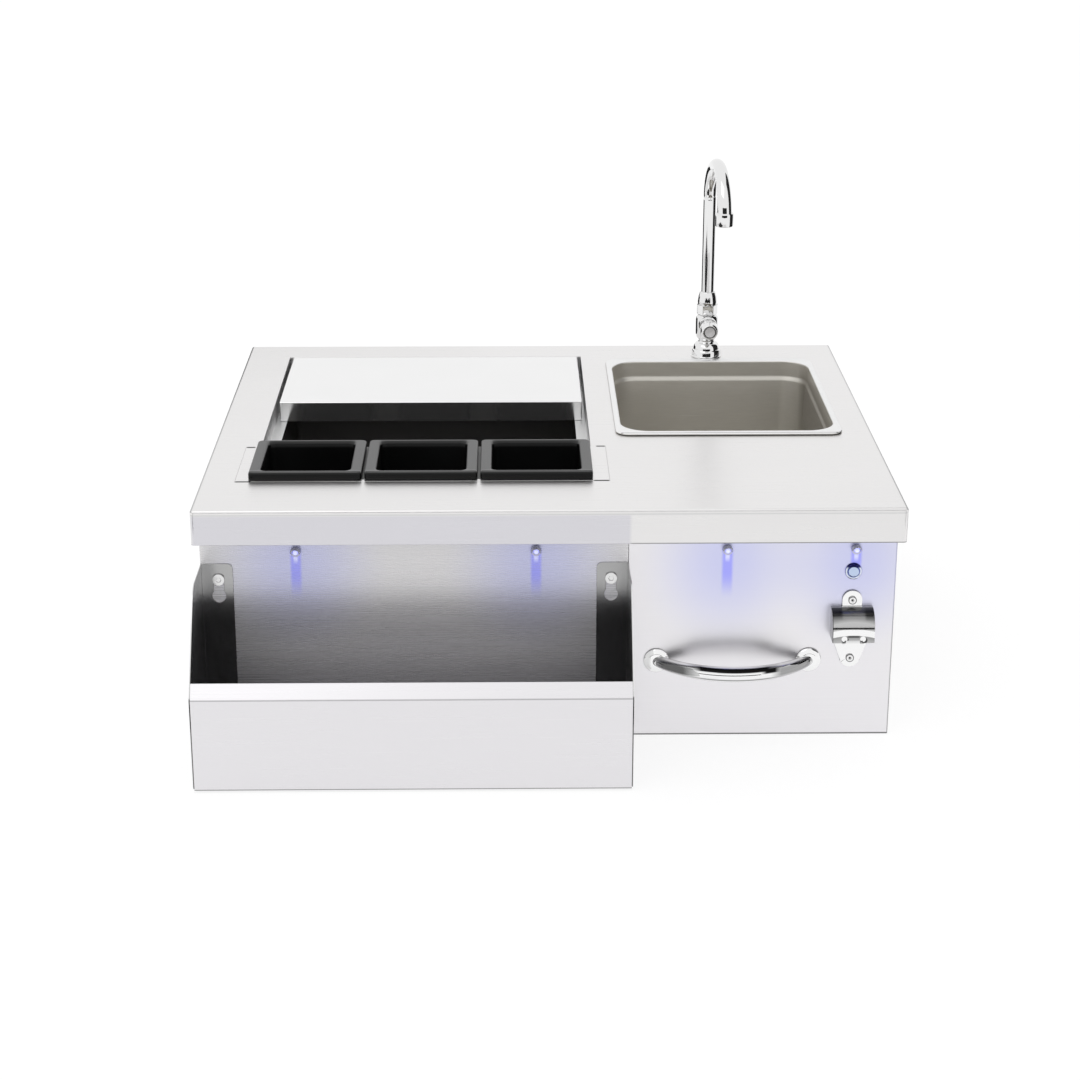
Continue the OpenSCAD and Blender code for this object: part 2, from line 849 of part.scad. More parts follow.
module drain_washer() {
    color(rubber) translate([sink_x, sink_y, bowl_floor - sheet - washer_h])
        ring(cup_r + cup_flange - 2, cup_r + run, washer_h);
}

module drain_lock_nut() {
    color(polished) translate([sink_x, sink_y, bowl_floor - sheet - washer_h - lock_nut_h])
        hex(cup_r + cup_flange + 1, cup_r + run, lock_nut_h);
}

module drain_tailpiece() {
    color(chrome) translate([sink_x, sink_y, 0]) difference() {
        union() {
            translate([0, 0, tail_bottom]) cylinder(r = tail_r, h = stub_bottom - tail_bottom);
            translate([0, 0, stub_bottom - 2]) cylinder(r = stub_r, h = 2);
        }
        translate([0, 0, tail_bottom - 1]) cylinder(r = tail_r - tail_wall, h = body_h);
        translate([0, 0, stub_bottom - slip_nut_low]) relief(tail_r);
    }
}

module drain_slip_nut() {
    color(chrome) translate([sink_x, sink_y, stub_bottom - slip_nut_low]) difference() {
        cylinder(r = stub_r + 4.5, h = slip_nut_h, $fn = 6);
        translate([0, 0, slip_nut_low - 2]) cylinder(r = stub_r + run, h = slip_nut_h);
        translate([0, 0, -1]) cylinder(r = tail_r + run, h = slip_nut_h);
    }
}

module drain_basket() {
    base = cup_bottom + cup_wall + rest_gap;
    color(polished) translate([sink_x, sink_y, base]) {
        difference() {
            union() {
                cylinder(r = basket_r - 3, h = basket_h);
                translate([0, 0, basket_h]) cylinder(r = basket_r, h = 1.5);
            }
            translate([0, 0, 1.2]) cylinder(r = basket_r - 4.2, h = basket_h + 2);
            for (a = [0:60:300]) rotate(a) translate([10, 0, -1]) cylinder(r = 2.5, h = 4);
        }
        translate([0, 0, 1]) cylinder(r = 3, h = basket_h - 4);
        translate([0, 0, basket_h - 4]) cylinder(r = 5, h = 5);
    }
}

// ---- Faucet ----

module at_faucet() {
    translate([faucet_x, faucet_y, top_z]) children();
}

// Bores and parts of the valve lie on an axis that points at the user
module valve_axis(out) {
    translate([0, -out, knob_h]) rotate([90, 0, 0]) children();
}

module faucet_body() {
    bell = [for (a = [0:15:90]) [faucet_base_r - 1 - 8 * sin(a), 22 - 13 * cos(a)]];
    color(chrome) at_faucet() difference() {
        union() {
            rotate_extrude() polygon(concat([[0, 0], [faucet_base_r, 0], [faucet_base_r, 3],
                [faucet_base_r - 1, 4]], bell, [[body_r - 2, 24], [body_r, 29],
                [body_r, body_top - 6], [body_r - 2, body_top - 2], [neck_r, body_top],
                [neck_r, neck_top], [0, neck_top]]));
            valve_axis(9) cylinder(r = bonnet_r + 3.5, h = boss_out - 9);
        }
        translate([0, 0, -1]) cylinder(r = shank_r + run, h = shank_in + 2);
        translate([0, 0, shank_in - 1]) cylinder(r = waterway_r, h = neck_top);
        translate([0, 0, tube_seat]) cylinder(r = spout_r + run, h = neck_top);
        valve_axis(0) cylinder(r = waterway_r, h = boss_out);
        valve_axis(bonnet_in) cylinder(r = bonnet_r + run, h = boss_out);
    }
}

module faucet_shank() {
    color(polished) at_faucet() difference() {
        translate([0, 0, shank_in - shank_l]) ring(shank_r, waterway_r + 1, shank_l);
        translate([0, 0, -sheet - 2 - faucet_nut_h]) relief(shank_r);
    }
}

module faucet_nut() {
    color(polished) at_faucet() {
        translate([0, 0, -sheet - 2 - faucet_nut_h]) hex(shank_r + 8, shank_r + run, faucet_nut_h);
        translate([0, 0, -sheet - 2]) ring(faucet_washer_r, shank_r + run, 2);
    }
}

module faucet_bonnet() {
    color(chrome) at_faucet() difference() {
        union() {
            valve_axis(bonnet_in) cylinder(r = bonnet_r, h = boss_out - bonnet_in + 1);
            valve_axis(boss_out) cylinder(r = bonnet_r + 1.5, h = bonnet_head, $fn = 6);
        }
        valve_axis(0) cylinder(r = stem_r + run, h = 40);
    }
}

module faucet_stem() {
    color(polished) at_faucet() valve_axis(bonnet_in + rest_gap) cylinder(r = stem_r, h = stem_l);
}

module faucet_knob() {
    length = knob_out[1] - knob_out[0];
    color(chrome) at_faucet() valve_axis(knob_out[0]) difference() {
        rotate_extrude() polygon([[0, 0], [10, 0], [knob_r - 0.6, 3], [knob_r, 6],
            [knob_r, length - 7], [knob_r - 1, length - 3], [cap_r + 1, length], [0, length]]);
        translate([0, 0, length - cap_in]) cylinder(r = cap_r + run, h = cap_in + 1);
        translate([0, 0, -1])
            cylinder(r = stem_r + press, h = bonnet_in + stem_l - knob_out[0] + 1 + 2 * rest_gap);
        for (a = knob_grips) rotate(a) translate([knob_r + 2.2, 0, 4])
            cylinder(r = 3.2, h = length - 12);
    }
}

module faucet_knob_cap() {
    color(satin) at_faucet() valve_axis(knob_out[1] - cap_in) cylinder(r = cap_r, h = cap_in + 0.4);
}

module spout_nut() {
    color(chrome) at_faucet() difference() {
        union() {
            translate([0, 0, body_top]) cylinder(r = neck_r + nut_over, h = nut_h, $fn = 6);
            rotate_extrude() polygon([[0, body_top + nut_h], [neck_r + 2.2, body_top + nut_h],
                [neck_r + 2.6, body_top + nut_h + 4], [neck_r + 1.6, nut_top - 6],
                [spout_r + 1.6, nut_top], [0, nut_top]]);
        }
        translate([0, 0, body_top - 1]) cylinder(r = neck_r + run, h = neck_top - body_top + 1);
        translate([0, 0, body_top]) cylinder(r = spout_r + run, h = nut_top);
    }
}

// The gooseneck as a solid rod of one radius, turned towards the right
module gooseneck(r, ends) {
    rotate(spout_turn) {
        translate([0, 0, tube_seat - ends]) cylinder(r = r, h = bend_z - tube_seat + ends);
        translate([0, -spout_bend, bend_z]) rotate([90, 0, 90])
            rotate_extrude(angle = 180) translate([spout_bend, 0]) circle(r);
        translate([0, -2 * spout_bend, outlet_z - ends])
            cylinder(r = r, h = bend_z - outlet_z + ends);
    }
}

module spout() {
    color(chrome) at_faucet() difference() {
        gooseneck(spout_r, 0);
        gooseneck(spout_r - spout_wall, 1);
    }
}

module aerator() {
    color(chrome) at_faucet() rotate(spout_turn)
        translate([0, -2 * spout_bend, outlet_z - aerator_low]) difference() {
            rotate_extrude() polygon([[0, 0], [spout_r + 2.4, 0], [spout_r + 3.3, 1],
                [spout_r + 3.3, aerator_h - 3], [spout_r + 2.4, aerator_h], [0, aerator_h]]);
            translate([0, 0, aerator_low]) cylinder(r = spout_r + press, h = aerator_h);
            translate([0, 0, 1.5]) cylinder(r = spout_r - 1.5, h = aerator_h);
            for (a = [0:60:300]) rotate(a) translate([4, 0, -1]) cylinder(r = 1.2, h = 4);
        }
}

// ---- Lights, button and wiring ----

// Side view of a hood's arch, seen from the front
module hood_arch(r) {
    circle(r);
    translate([-r, -hood_r]) square([2 * r, hood_r]);
}

module light_hood(i) {
    color(chrome) on_panel(light_x[i], light_z) difference() {
        union() {
            linear_extrude(hood_out) difference() {
                hood_arch(hood_r);
                hood_arch(hood_r - hood_wall);
            }
            linear_extrude(1.2) hood_arch(hood_r);
            translate([0, 0, -barrel_l]) cylinder(r = barrel_r, h = barrel_l + 1);
        }
        translate([0, 0, -lens_in]) cylinder(r = lens_r, h = lens_in + hood_out);
        translate([0, 0, hood_out]) rotate([20, 0, 0]) translate([-10, -30, -2])
            cube([20, 24, 10]);
    }
}

module light_hood_1() {
    light_hood(0);
}

module light_hood_2() {
    light_hood(1);
}

module light_hood_3() {
    light_hood(2);
}

module light_hood_4() {
    light_hood(3);
}

module light_lenses() {
    color(glow) for (i = [0:3]) on_panel(light_x[i], light_z) {
        translate([0, 0, -lens_in]) cylinder(r = lens_r - run, h = lens_in + lens_out);
        translate([0, 0, lens_out]) sphere(lens_r - run);
    }
}

module light_driver() {
    color(black) block([driver_x, rear_in_y - driver_size[1], driver_z],
        [driver_x + driver_size[0], rear_in_y, driver_z + driver_size[2]]);
}

module loom_run(points) {
    for (i = [0:len(points) - 2]) {
        way = points[i + 1] - points[i];
        translate(points[i]) rotate([0, acos(way[2] / norm(way)), atan2(way[1], way[0])])
            cylinder(r = loom_r, h = norm(way));
        translate(points[i + 1]) sphere(loom_r);
    }
}

module wiring_loom() {
    end_y = rear_in_y - driver_size[1] / 2;
    color(black) {
        loom_run([[light_x[0] - 4, loom_y, light_z], [loom_x, loom_y, light_z],
            [loom_x, end_y, light_z], [loom_drop_x, end_y, light_z],
            [loom_drop_x, end_y, driver_z + driver_size[2] + loom_r + loom_seat]]);
        loom_run([[button_x, loom_y + 2, light_z],
            [button_x, loom_y + 2, button_z + button_barrel_r + loom_r + loom_seat]]);
    }
}

module power_gland() {
    color(black) translate([gland_x, rear_y, gland_z]) rotate([-90, 0, 0]) difference() {
        union() {
            cylinder(r = gland_r + 4, h = gland_nut, $fn = 6);
            translate([0, 0, gland_nut - 1])
                cylinder(r = gland_r + 1, h = gland_out - gland_nut + 1);
            translate([0, 0, -gland_in]) cylinder(r = gland_r, h = gland_in + 1);
            translate([0, 0, -sheet - gland_nut])
                cylinder(r = gland_r + 4, h = gland_nut, $fn = 6);
        }
        translate([0, 0, -gland_in - 1]) cylinder(r = gland_bore, h = gland_in + gland_out + 2);
    }
}

module button_bezel() {
    color(chrome) on_panel(button_x, button_z) difference() {
        union() {
            rotate_extrude() polygon([[0, 0], [button_bezel_r, 0], [button_bezel_r, 1],
                [button_bezel_r - 1.1, button_bezel_h], [0, button_bezel_h]]);
            translate([0, 0, -button_barrel_l])
                cylinder(r = button_barrel_r, h = button_barrel_l + 1);
        }
        translate([0, 0, -button_barrel_l - 1])
            cylinder(r = button_cap_r + run, h = 2 * button_barrel_l);
        translate([0, 0, -button_barrel_l - 1])
            cylinder(r = button_bore_r, h = button_barrel_l - 4);
    }
}

module button_cap() {
    color(chrome) on_panel(button_x, button_z) {
        translate([0, 0, -6]) cylinder(r = button_cap_r, h = 6 + button_bezel_h + 1.2);
        translate([0, 0, -8]) cylinder(r = button_flange_r, h = 2.5);
    }
}

module button_switch() {
    color(black) on_panel(button_x, button_z) {
        translate([0, 0, -button_barrel_l]) cylinder(r = button_bore_r - run, h = 10);
        translate([0, 0, -button_barrel_l - switch_body])
            cylinder(r = button_barrel_r, h = switch_body);
        for (s = [-1, 1])
            translate([s * 4 - 1.2, -0.4, -button_barrel_l - switch_body - switch_pins])
                cube([2.4, 0.8, switch_pins + 1]);
    }
}

module button_nut() {
    color(chrome) on_panel(button_x, button_z) translate([0, 0, -sheet - button_nut_h])
        hex(button_nut_r, button_barrel_r + run, button_nut_h);
}

// ---- Bottle opener ----

module opener_plate() {
    half = opener_span / 2;
    translate([0, half]) circle(opener_end_r);
    translate([-opener_end_r, half - 16]) square([2 * opener_end_r, 16]);
    translate([0, 6]) soft_rect(44, 30, 3);
    polygon([[-22, -6], [22, -6], [opener_end_r - 0.4, -half - 3],
        [0.4 - opener_end_r, -half - 3]]);
    translate([0, -half]) circle(opener_end_r);
}

// Side view of the visor: x points out from the panel, y up
module visor_view(cut) {
    intersection() {
        union() {
            translate([opener_t, visor_axis]) circle(visor_out - cut);
            translate([0, -visor_low])
                square([opener_t + visor_out - cut, visor_low + visor_axis]);
        }
        translate([0, -visor_low - cut]) square(2 * visor_out);
    }
}

module visor(width, cut) {
    rotate([0, -90, 0]) linear_extrude(width, center = true) visor_view(cut);
}

module bottle_opener() {
    color(chrome) on_panel(button_x, opener_z) difference() {
        union() {
            linear_extrude(opener_t) opener_plate();
            difference() {
                visor(visor_w, 0);
                visor(visor_w - 2 * visor_t, visor_t);
                translate([0, -visor_low, visor_out]) cube([2 * tooth_x, 6, 20], center = true);
            }
            for (s = [-1, 1])
                translate([s * tooth_x, -visor_low - 2, opener_t + visor_out - visor_t - 1.5])
                    rotate([-90, 0, 0]) cylinder(r = tooth_r, h = 14);
        }
        for (s = [-1, 1]) translate([0, s * opener_span / 2, -1])
            cylinder(r = opener_screw_r + run, h = 10);
    }
}

module opener_screws() {
    color(polished) for (s = [-1, 1]) on_panel(button_x, opener_z + s * opener_span / 2)
        translate([0, 0, opener_t]) screw(opener_screw_r, opener_head_r, opener_head_h, 14);
}

// ---- Handle ----

module handle_bar() {
    arc_r = (pow(handle_span / 2, 2) + pow(handle_out, 2)) / (2 * handle_out);
    reach = asin(handle_span / 2 / arc_r);
    color(chrome) difference() {
        translate([handle_x, panel_y - handle_out + arc_r, handle_z])
            rotate(-90 - reach - 4) rotate_extrude(angle = 2 * reach + 8)
                translate([arc_r, 0]) circle(handle_r);
        block([handle_x - handle_span, panel_y - rosette_t, handle_z - 20],
            [handle_x + handle_span, panel_y + 40, handle_z + 20]);
        handle_feet() cylinder(r = handle_screw_r + press, h = rosette_t + handle_screw_in + 1);
    }
}

module handle_feet() {
    for (s = [-1, 1]) on_panel(handle_x + s * handle_span / 2, handle_z) children();
}

module handle_rosettes() {
    color(chrome) handle_feet() difference() {
        rotate_extrude() polygon([[0, 0], [rosette_r, 0], [rosette_r, 1.5],
            [rosette_r - 1.2, 3.2], [rosette_r - 3.4, rosette_t - 0.5],
            [rosette_r - 5, rosette_t], [0, rosette_t]]);
        translate([0, 0, -1]) cylinder(r = handle_screw_r + run, h = rosette_t + 2);
    }
}

module handle_screws() {
    color(polished) handle_feet() translate([0, 0, -sheet]) mirror([0, 0, 1])
        screw(handle_screw_r, opener_head_r, 3, rosette_t + sheet + handle_screw_in);
}

// ---- Speed rail ----

// Side view of an end plate: x is the distance from the front panel, y the height
module rail_end_view() {
    knee = rail_reach - (rail_end_h - rail_front_h) / tan(rail_slope);
    centre = [knee - end_fillet * tan(rail_slope / 2), rail_end_h - end_fillet];
    bend = [for (i = [0:12]) centre + end_fillet
        * [cos(90 - rail_slope * i / 12), sin(90 - rail_slope * i / 12)]];
    polygon(concat([[rest_gap, 0], [rest_gap, rail_end_h]], bend,
        [[rail_reach, rail_front_h], [rail_reach, 3], [rail_reach - 3, 0]]));
}

module keyhole() {
    circle(slot_r);
    translate([-slot_r, -keyhole_drop]) square([2 * slot_r, keyhole_drop]);
    translate([0, -keyhole_drop]) circle(keyhole_r);
}

module rail_end() {
    difference() {
        union() {
            translate([sheet, panel_y, rail_z]) rotate([90, 0, -90])
                linear_extrude(sheet) rail_end_view();
            translate([0, rail_back, rail_z]) rotate([90, 0, 0]) linear_extrude(sheet)
                union() {
                    square([rail_flange, rail_end_h - flange_round]);
                    square([rail_flange - flange_round, rail_end_h]);
                    translate([rail_flange - flange_round, rail_end_h - flange_round])
                        circle(flange_round);
                }
        }
        translate([keyhole_in, rail_back + 1, rail_z + keyhole_h]) rotate([90, 0, 0])
            linear_extrude(sheet + 2) keyhole();
    }
}

module rail_end_left() {
    color(polished) translate([rail_x[0], 0, 0]) rail_end();
}

module rail_end_right() {
    color(polished) translate([rail_x[1], 0, 0]) mirror([1, 0, 0]) rail_end();
}

module rail_trough() {
    half = sheet / 2;
    back = rest_gap + sheet + half;
    front = rail_reach - half;
    lip_end = [front - rail_lip * cos(rail_slope), rail_front_h + rail_lip * sin(rail_slope)];
    hem_end = lip_end + [-1.2, -5];
    path = [[back, rail_back_h], [back, half], [front, half], [front, rail_front_h], lip_end, hem_end];
    color(steel) translate([rail_x[0] + sheet, panel_y, rail_z]) rotate([90, 0, -90])
        translate([0, 0, -(rail_w - 2 * sheet)]) linear_extrude(rail_w - 2 * sheet)
            for (i = [0:4]) strip(path[i], path[i + 1], sheet);
}

module rail_hangers() {
    color(chrome) for (x = [rail_x[0] + keyhole_in, rail_x[1] - keyhole_in])
        on_panel(x, hanger_z) {
            translate([0, 0, 2 * rest_gap + sheet])
                screw(hanger_r, hanger_head_r, hanger_head_h, 2 * rest_gap + 2 * sheet + 6);
            translate([0, 0, -sheet - hanger_nut_h])
                hex(hanger_nut_r, hanger_r - eps, hanger_nut_h);
        }
}

countertop();
front_panel_left();
front_panel_right();
side_panel_left();
side_panel_right();
rear_panel();
housing_screws();
bin_collar();
bin_liner();
bin_insulation();
bin_shell();
bin_drain();
bin_drain_nut();
tray_plate();
tray_left();
tray_middle();
tray_right();
lid_pan();
lid_core();
lid_liner();
sink_bowl();
sink_gasket();
sink_clips();
drain_cup();
drain_washer();
drain_lock_nut();
drain_tailpiece();
drain_slip_nut();
drain_basket();
faucet_body();
faucet_shank();
faucet_nut();
faucet_bonnet();
faucet_stem();
faucet_knob();
faucet_knob_cap();
spout_nut();
spout();
aerator();
light_hood_1();
light_hood_2();
light_hood_3();
light_hood_4();
light_lenses();
light_driver();
wiring_loom();
power_gland();
button_bezel();
button_switch();
button_nut();
button_cap();
bottle_opener();
opener_screws();
handle_bar();
handle_rosettes();
handle_screws();
rail_trough();
rail_end_left();
rail_end_right();
rail_hangers();
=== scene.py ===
"""Bar sink with ice bin: camera, studio, finishes and shown pieces.

Lengths are in mm, and MM turns them into metres. The camera and the studio are in metres.
"""

import json
from math import asin, cos, pi, radians, sin

import bmesh
import bpy
from mathutils import Matrix, Vector

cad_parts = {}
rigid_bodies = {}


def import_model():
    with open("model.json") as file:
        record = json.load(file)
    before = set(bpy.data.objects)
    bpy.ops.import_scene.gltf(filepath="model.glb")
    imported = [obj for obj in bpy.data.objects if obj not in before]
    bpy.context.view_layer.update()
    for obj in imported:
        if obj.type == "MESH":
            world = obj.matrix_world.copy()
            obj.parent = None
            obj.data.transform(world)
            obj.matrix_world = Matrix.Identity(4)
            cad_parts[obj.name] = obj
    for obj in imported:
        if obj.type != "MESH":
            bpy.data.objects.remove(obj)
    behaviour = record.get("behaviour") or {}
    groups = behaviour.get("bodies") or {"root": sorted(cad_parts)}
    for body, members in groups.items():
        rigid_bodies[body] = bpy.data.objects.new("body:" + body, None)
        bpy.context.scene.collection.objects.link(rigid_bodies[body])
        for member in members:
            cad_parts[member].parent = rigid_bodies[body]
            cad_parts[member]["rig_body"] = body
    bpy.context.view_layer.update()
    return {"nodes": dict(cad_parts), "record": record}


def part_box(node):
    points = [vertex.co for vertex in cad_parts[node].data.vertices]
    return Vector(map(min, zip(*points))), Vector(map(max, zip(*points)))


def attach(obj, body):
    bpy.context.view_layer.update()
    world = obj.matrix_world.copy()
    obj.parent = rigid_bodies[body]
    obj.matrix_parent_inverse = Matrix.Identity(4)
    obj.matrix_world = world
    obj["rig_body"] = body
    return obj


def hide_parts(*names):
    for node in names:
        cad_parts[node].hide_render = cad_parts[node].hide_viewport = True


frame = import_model()
NODES = frame["nodes"]
SLOT_OF = {part["node"]: part["material_slot"] for part in frame["record"]["subparts"]}
MM = 0.001

# Places on the part, as in its CAD source
TOP_Z = 280.0
PANEL_Y = -240.0
LIGHT_X = (-274.3, -14.1, 193.7, 333.6)
LIGHT_Z = 219.0
BUTTON = (331.3, PANEL_Y, 194.0)
OPENER_Z = 127.0
SINK = (214.0, 141.5)
FAUCET = (214.0, 327.0)
BIN_X = -138.0
TRAY_X = (-267.4, -140.0, -12.6)
HANDLE = (202.2, PANEL_Y, 90.0)
KNOB_Z = TOP_Z + 44
UP = Vector((0, 0, 1))

# Ends of the lamps' painted light streaks, as metres below the lamp. The last one ends at the button.
STREAK_ENDS = (-0.058, -0.058, -0.058, -0.034)

# For the finishes: the screen's gamma, a noise's usual span, the scale of metal's unevenness, tints
DISPLAY_GAMMA = 2.2
NOISE_SPAN = (0.3, 0.7)
METAL_SKIN = 160.0
WARM = (1.0, 0.988, 0.985)
ROSY = (1.0, 0.985, 1.01)
WHITE = (1, 1, 1, 1)
BLACK = (0, 0, 0, 1)


# ---- Camera ----


def set_camera():
    """Stands the camera where the photograph was taken from."""
    place = (-0.0428, -2.6284, 1.0975)
    swing, dip, roll = -0.79, 19.93, 0.02
    data = bpy.data.cameras.new("photo_camera")
    data.sensor_width = 36
    data.lens = 78.37
    data.clip_end = 60
    camera = bpy.data.objects.new("photo_camera", data)
    bpy.context.scene.collection.objects.link(camera)
    camera.matrix_world = (
        Matrix.Translation(place)
        @ Matrix.Rotation(radians(swing), 4, "Z")
        @ Matrix.Rotation(radians(90 - dip), 4, "X")
        @ Matrix.Rotation(radians(roll), 4, "Z")
    )
    bpy.context.scene.camera = camera


# ---- Small helpers for node trees ----


def wire(tree, kind, inputs, **settings):
    """Adds a shader node. An input is given a value, or the output of another node."""
    made = tree.nodes.new("ShaderNode" + kind)
    for name, value in settings.items():
        setattr(made, name, value)
    for key, value in inputs.items():
        if isinstance(value, bpy.types.NodeSocket):
            tree.links.new(value, made.inputs[key])
        else:
            made.inputs[key].default_value = value
    return made


def reckon(tree, what, a, b=0.0, clamp=False):
    """One step of arithmetic on values."""
    return wire(tree, "Math", {0: a, 1: b}, operation=what, use_clamp=clamp).outputs[0]


def times(tree, a, b):
    """Two values multiplied."""
    return reckon(tree, "MULTIPLY", a, b)


def off_from(tree, value, centre):
    """How far a value lies past a centre."""
    return reckon(tree, "SUBTRACT", value, centre)


def length_of(tree, x, z):
    """How far from its centre a point lies, as seen from the front."""
    flat = wire(tree, "CombineXYZ", {0: x, 2: z})
    return wire(tree, "VectorMath", {0: flat.outputs[0]}, operation="LENGTH").outputs["Value"]


def between(tree, value, low, high, out_low=0.0, out_high=1.0, smooth=False):
    """Maps a value from one range to another, clamped."""
    kind = "SMOOTHSTEP" if smooth else "LINEAR"
    inputs = {"Value": value, "From Min": low, "From Max": high, "To Min": out_low, "To Max": out_high}
    return wire(tree, "MapRange", inputs, interpolation_type=kind).outputs["Result"]


def fading(tree, value, low, high, smooth=False):
    """1 below the low value, falling to 0 at the high one."""
    return between(tree, value, low, high, 1.0, 0.0, smooth)


def blend_tones(tree, share, first, second, how="MIX"):
    """Mixes two colours."""
    inputs = {0: share, 6: first, 7: second}
    return wire(tree, "Mix", inputs, data_type="RGBA", blend_type=how, clamp_factor=True).outputs[2]


def shade(*rgb):
    """A colour or a grey written as it looks on screen, 0 to 255, as the shader's light values."""
    if len(rgb) == 1:
        rgb = rgb * 3
    lit = [((c / 255 + 0.055) / 1.055) ** 2.4 for c in rgb]
    return (*lit, 1.0)


def new_group(name, inputs, outputs):
    """A node group with named sockets, given as (name, kind, value) and (name, kind)."""
    tree = bpy.data.node_groups.new(name, "ShaderNodeTree")
    for label, kind, value in inputs:
        socket = tree.interface.new_socket(label, in_out="INPUT", socket_type="NodeSocket" + kind)
        if value is not None:
            socket.default_value = value
    for label, kind in outputs:
        tree.interface.new_socket(label, in_out="OUTPUT", socket_type="NodeSocket" + kind)
    return tree, tree.nodes.new("NodeGroupInput").outputs, tree.nodes.new("NodeGroupOutput").inputs


def make_brush_lines():
    """Fine lines drawn along one direction, with slow changes of tone along each."""
    tree, given, result = new_group(
        "brush_lines",
        [("Place", "Vector", None), ("Stretch", "Vector", (5, 1100, 1100)), ("Cloud", "Vector", (2, 7, 7))],
        [("Lines", "Float"), ("Cloud", "Float")],
    )
    for stretch, detail, rough, output in (("Stretch", 3.0, 0.62, "Lines"), ("Cloud", 2.0, 0.45, "Cloud")):
        drawn = wire(tree, "VectorMath", {0: given["Place"], 1: given[stretch]}, operation="MULTIPLY")
        inputs = {"Vector": drawn.outputs[0], "Scale": 1.0, "Detail": detail, "Roughness": rough}
        noise = wire(tree, "TexNoise", inputs)
        tree.links.new(noise.outputs["Fac"], result[output])
    return tree


def make_hairlines():
    """Sparse scratches from wiping, in two slanting directions."""
    tree, given, result = new_group(
        "wiping_scratches", [("Place", "Vector", None), ("Amount", "Float", 0.1)], [("Mask", "Float")]
    )
    rare, certain = 0.70, 0.82
    masks = []
    for turn, long, short in ((0.5, 9, 420), (-0.35, 12, 360)):
        inputs = {"Vector": given["Place"], "Rotation": (turn, turn, turn), "Scale": (long, short, short)}
        turned_place = wire(tree, "Mapping", inputs)
        noise = wire(tree, "TexNoise", {"Vector": turned_place.outputs[0], "Scale": 1.0, "Detail": 1.0})
        masks.append(between(tree, noise.outputs["Fac"], rare, certain))
    both = reckon(tree, "MAXIMUM", masks[0], masks[1])
    tree.links.new(times(tree, both, given["Amount"]), result["Mask"])
    return tree


def make_lamp_glow():
    """Where the light of the four small lamps is painted on the panel: a round halo, and a narrow streak
    below each lamp.
    """
    tree, given, result = new_group(
        "lamp_glow", [("Place", "Vector", None)], [("Halo", "Float"), ("Streak", "Float")]
    )
    halo_centre, halo_size, halo_squash = 0.014, 0.108, 0.95
    streak_core, streak_edge, full_streak = 0.0034, 0.0076, 0.42
    apart = wire(tree, "SeparateXYZ", {0: given["Place"]})
    drop = off_from(tree, apart.outputs[2], LIGHT_Z * MM)
    start = fading(tree, drop, 0.0, 0.004)
    low = times(tree, reckon(tree, "ADD", drop, halo_centre), halo_squash)
    halo = streak = None
    for x, end in zip(LIGHT_X, STREAK_ENDS):
        fade = times(tree, between(tree, drop, end, end * full_streak, smooth=True), start)
        aside = off_from(tree, apart.outputs[0], x * MM)
        ring = fading(tree, length_of(tree, aside, low), 0.004, halo_size, smooth=True)
        across = fading(tree, reckon(tree, "ABSOLUTE", aside), streak_core, streak_edge, smooth=True)
        core = times(tree, across, fade)
        halo = ring if halo is None else reckon(tree, "ADD", halo, ring, clamp=True)
        streak = core if streak is None else reckon(tree, "ADD", streak, core, clamp=True)
    tree.links.new(halo, result["Halo"])
    tree.links.new(streak, result["Streak"])
    return tree


def make_grain():
    """Fine pebbled skin of a moulded or cast surface."""
    tree, given, result = new_group(
        "moulded_grain",
        [("Place", "Vector", None), ("Scale", "Float", 700.0)],
        [("Height", "Float"), ("Cloud", "Float")],
    )
    noise = wire(tree, "TexNoise", {"Vector": given["Place"], "Scale": given["Scale"], "Detail": 2.0})
    cloud = wire(tree, "TexNoise", {"Vector": given["Place"], "Scale": 14.0, "Detail": 2.0})
    tree.links.new(noise.outputs["Fac"], result["Height"])
    tree.links.new(cloud.outputs["Fac"], result["Cloud"])
    return tree


BRUSH_LINES = make_brush_lines()
WIPING_SCRATCHES = make_hairlines()
LAMP_GLOW = make_lamp_glow()
MOULDED_GRAIN = make_grain()


def within(tree, apart, *bounds):
    """Mask of a box: each bound is (axis, centre, half width, soft edge)."""
    mask = None
    for axis, centre, half, edge in bounds:
        off = reckon(tree, "ABSOLUTE", off_from(tree, apart.outputs["XYZ".index(axis)], centre * MM))
        inside = fading(tree, off, (half - edge) * MM, (half + edge) * MM)
        mask = inside if mask is None else times(tree, mask, inside)
    return mask


def around(tree, apart, x, z, inner, outer, edge=0.25):
    """Mask of a ring, or of a disc where inner is below 0, as seen from the front."""
    off_x = off_from(tree, apart.outputs[0], x * MM)
    off_z = off_from(tree, apart.outputs[2], z * MM)
    away = length_of(tree, off_x, off_z)
    mask = fading(tree, away, (outer - edge) * MM, (outer + edge) * MM)
    if inner > 0:
        mask = times(tree, mask, between(tree, away, (inner - edge) * MM, (inner + edge) * MM))
    return mask


def mark_places(tree, place, base, marks):
    """Puts small places of another tone on a colour.

    Each is (tone, bounds of a box) or (tone, (x, z, inner, outer)) for a ring. A tone is a grey or a colour.
    """
    apart = wire(tree, "SeparateXYZ", {0: place})
    for tone, bounds in marks:
        mask = within(tree, apart, *bounds) if isinstance(bounds[0], tuple) else around(tree, apart, *bounds)
        base = blend_tones(tree, mask, base, shade(*tone) if isinstance(tone, tuple) else shade(tone))
    return base


def height_of(tree, place):
    """How high a point lies on the piece."""
    return wire(tree, "SeparateXYZ", {0: place}).outputs[2]


def darken(tree, base, share, tone):
    """Multiplies a colour by a tone, as far as the share says."""
    return blend_tones(tree, share, base, blend_tones(tree, 1.0, base, shade(tone), "MULTIPLY"))


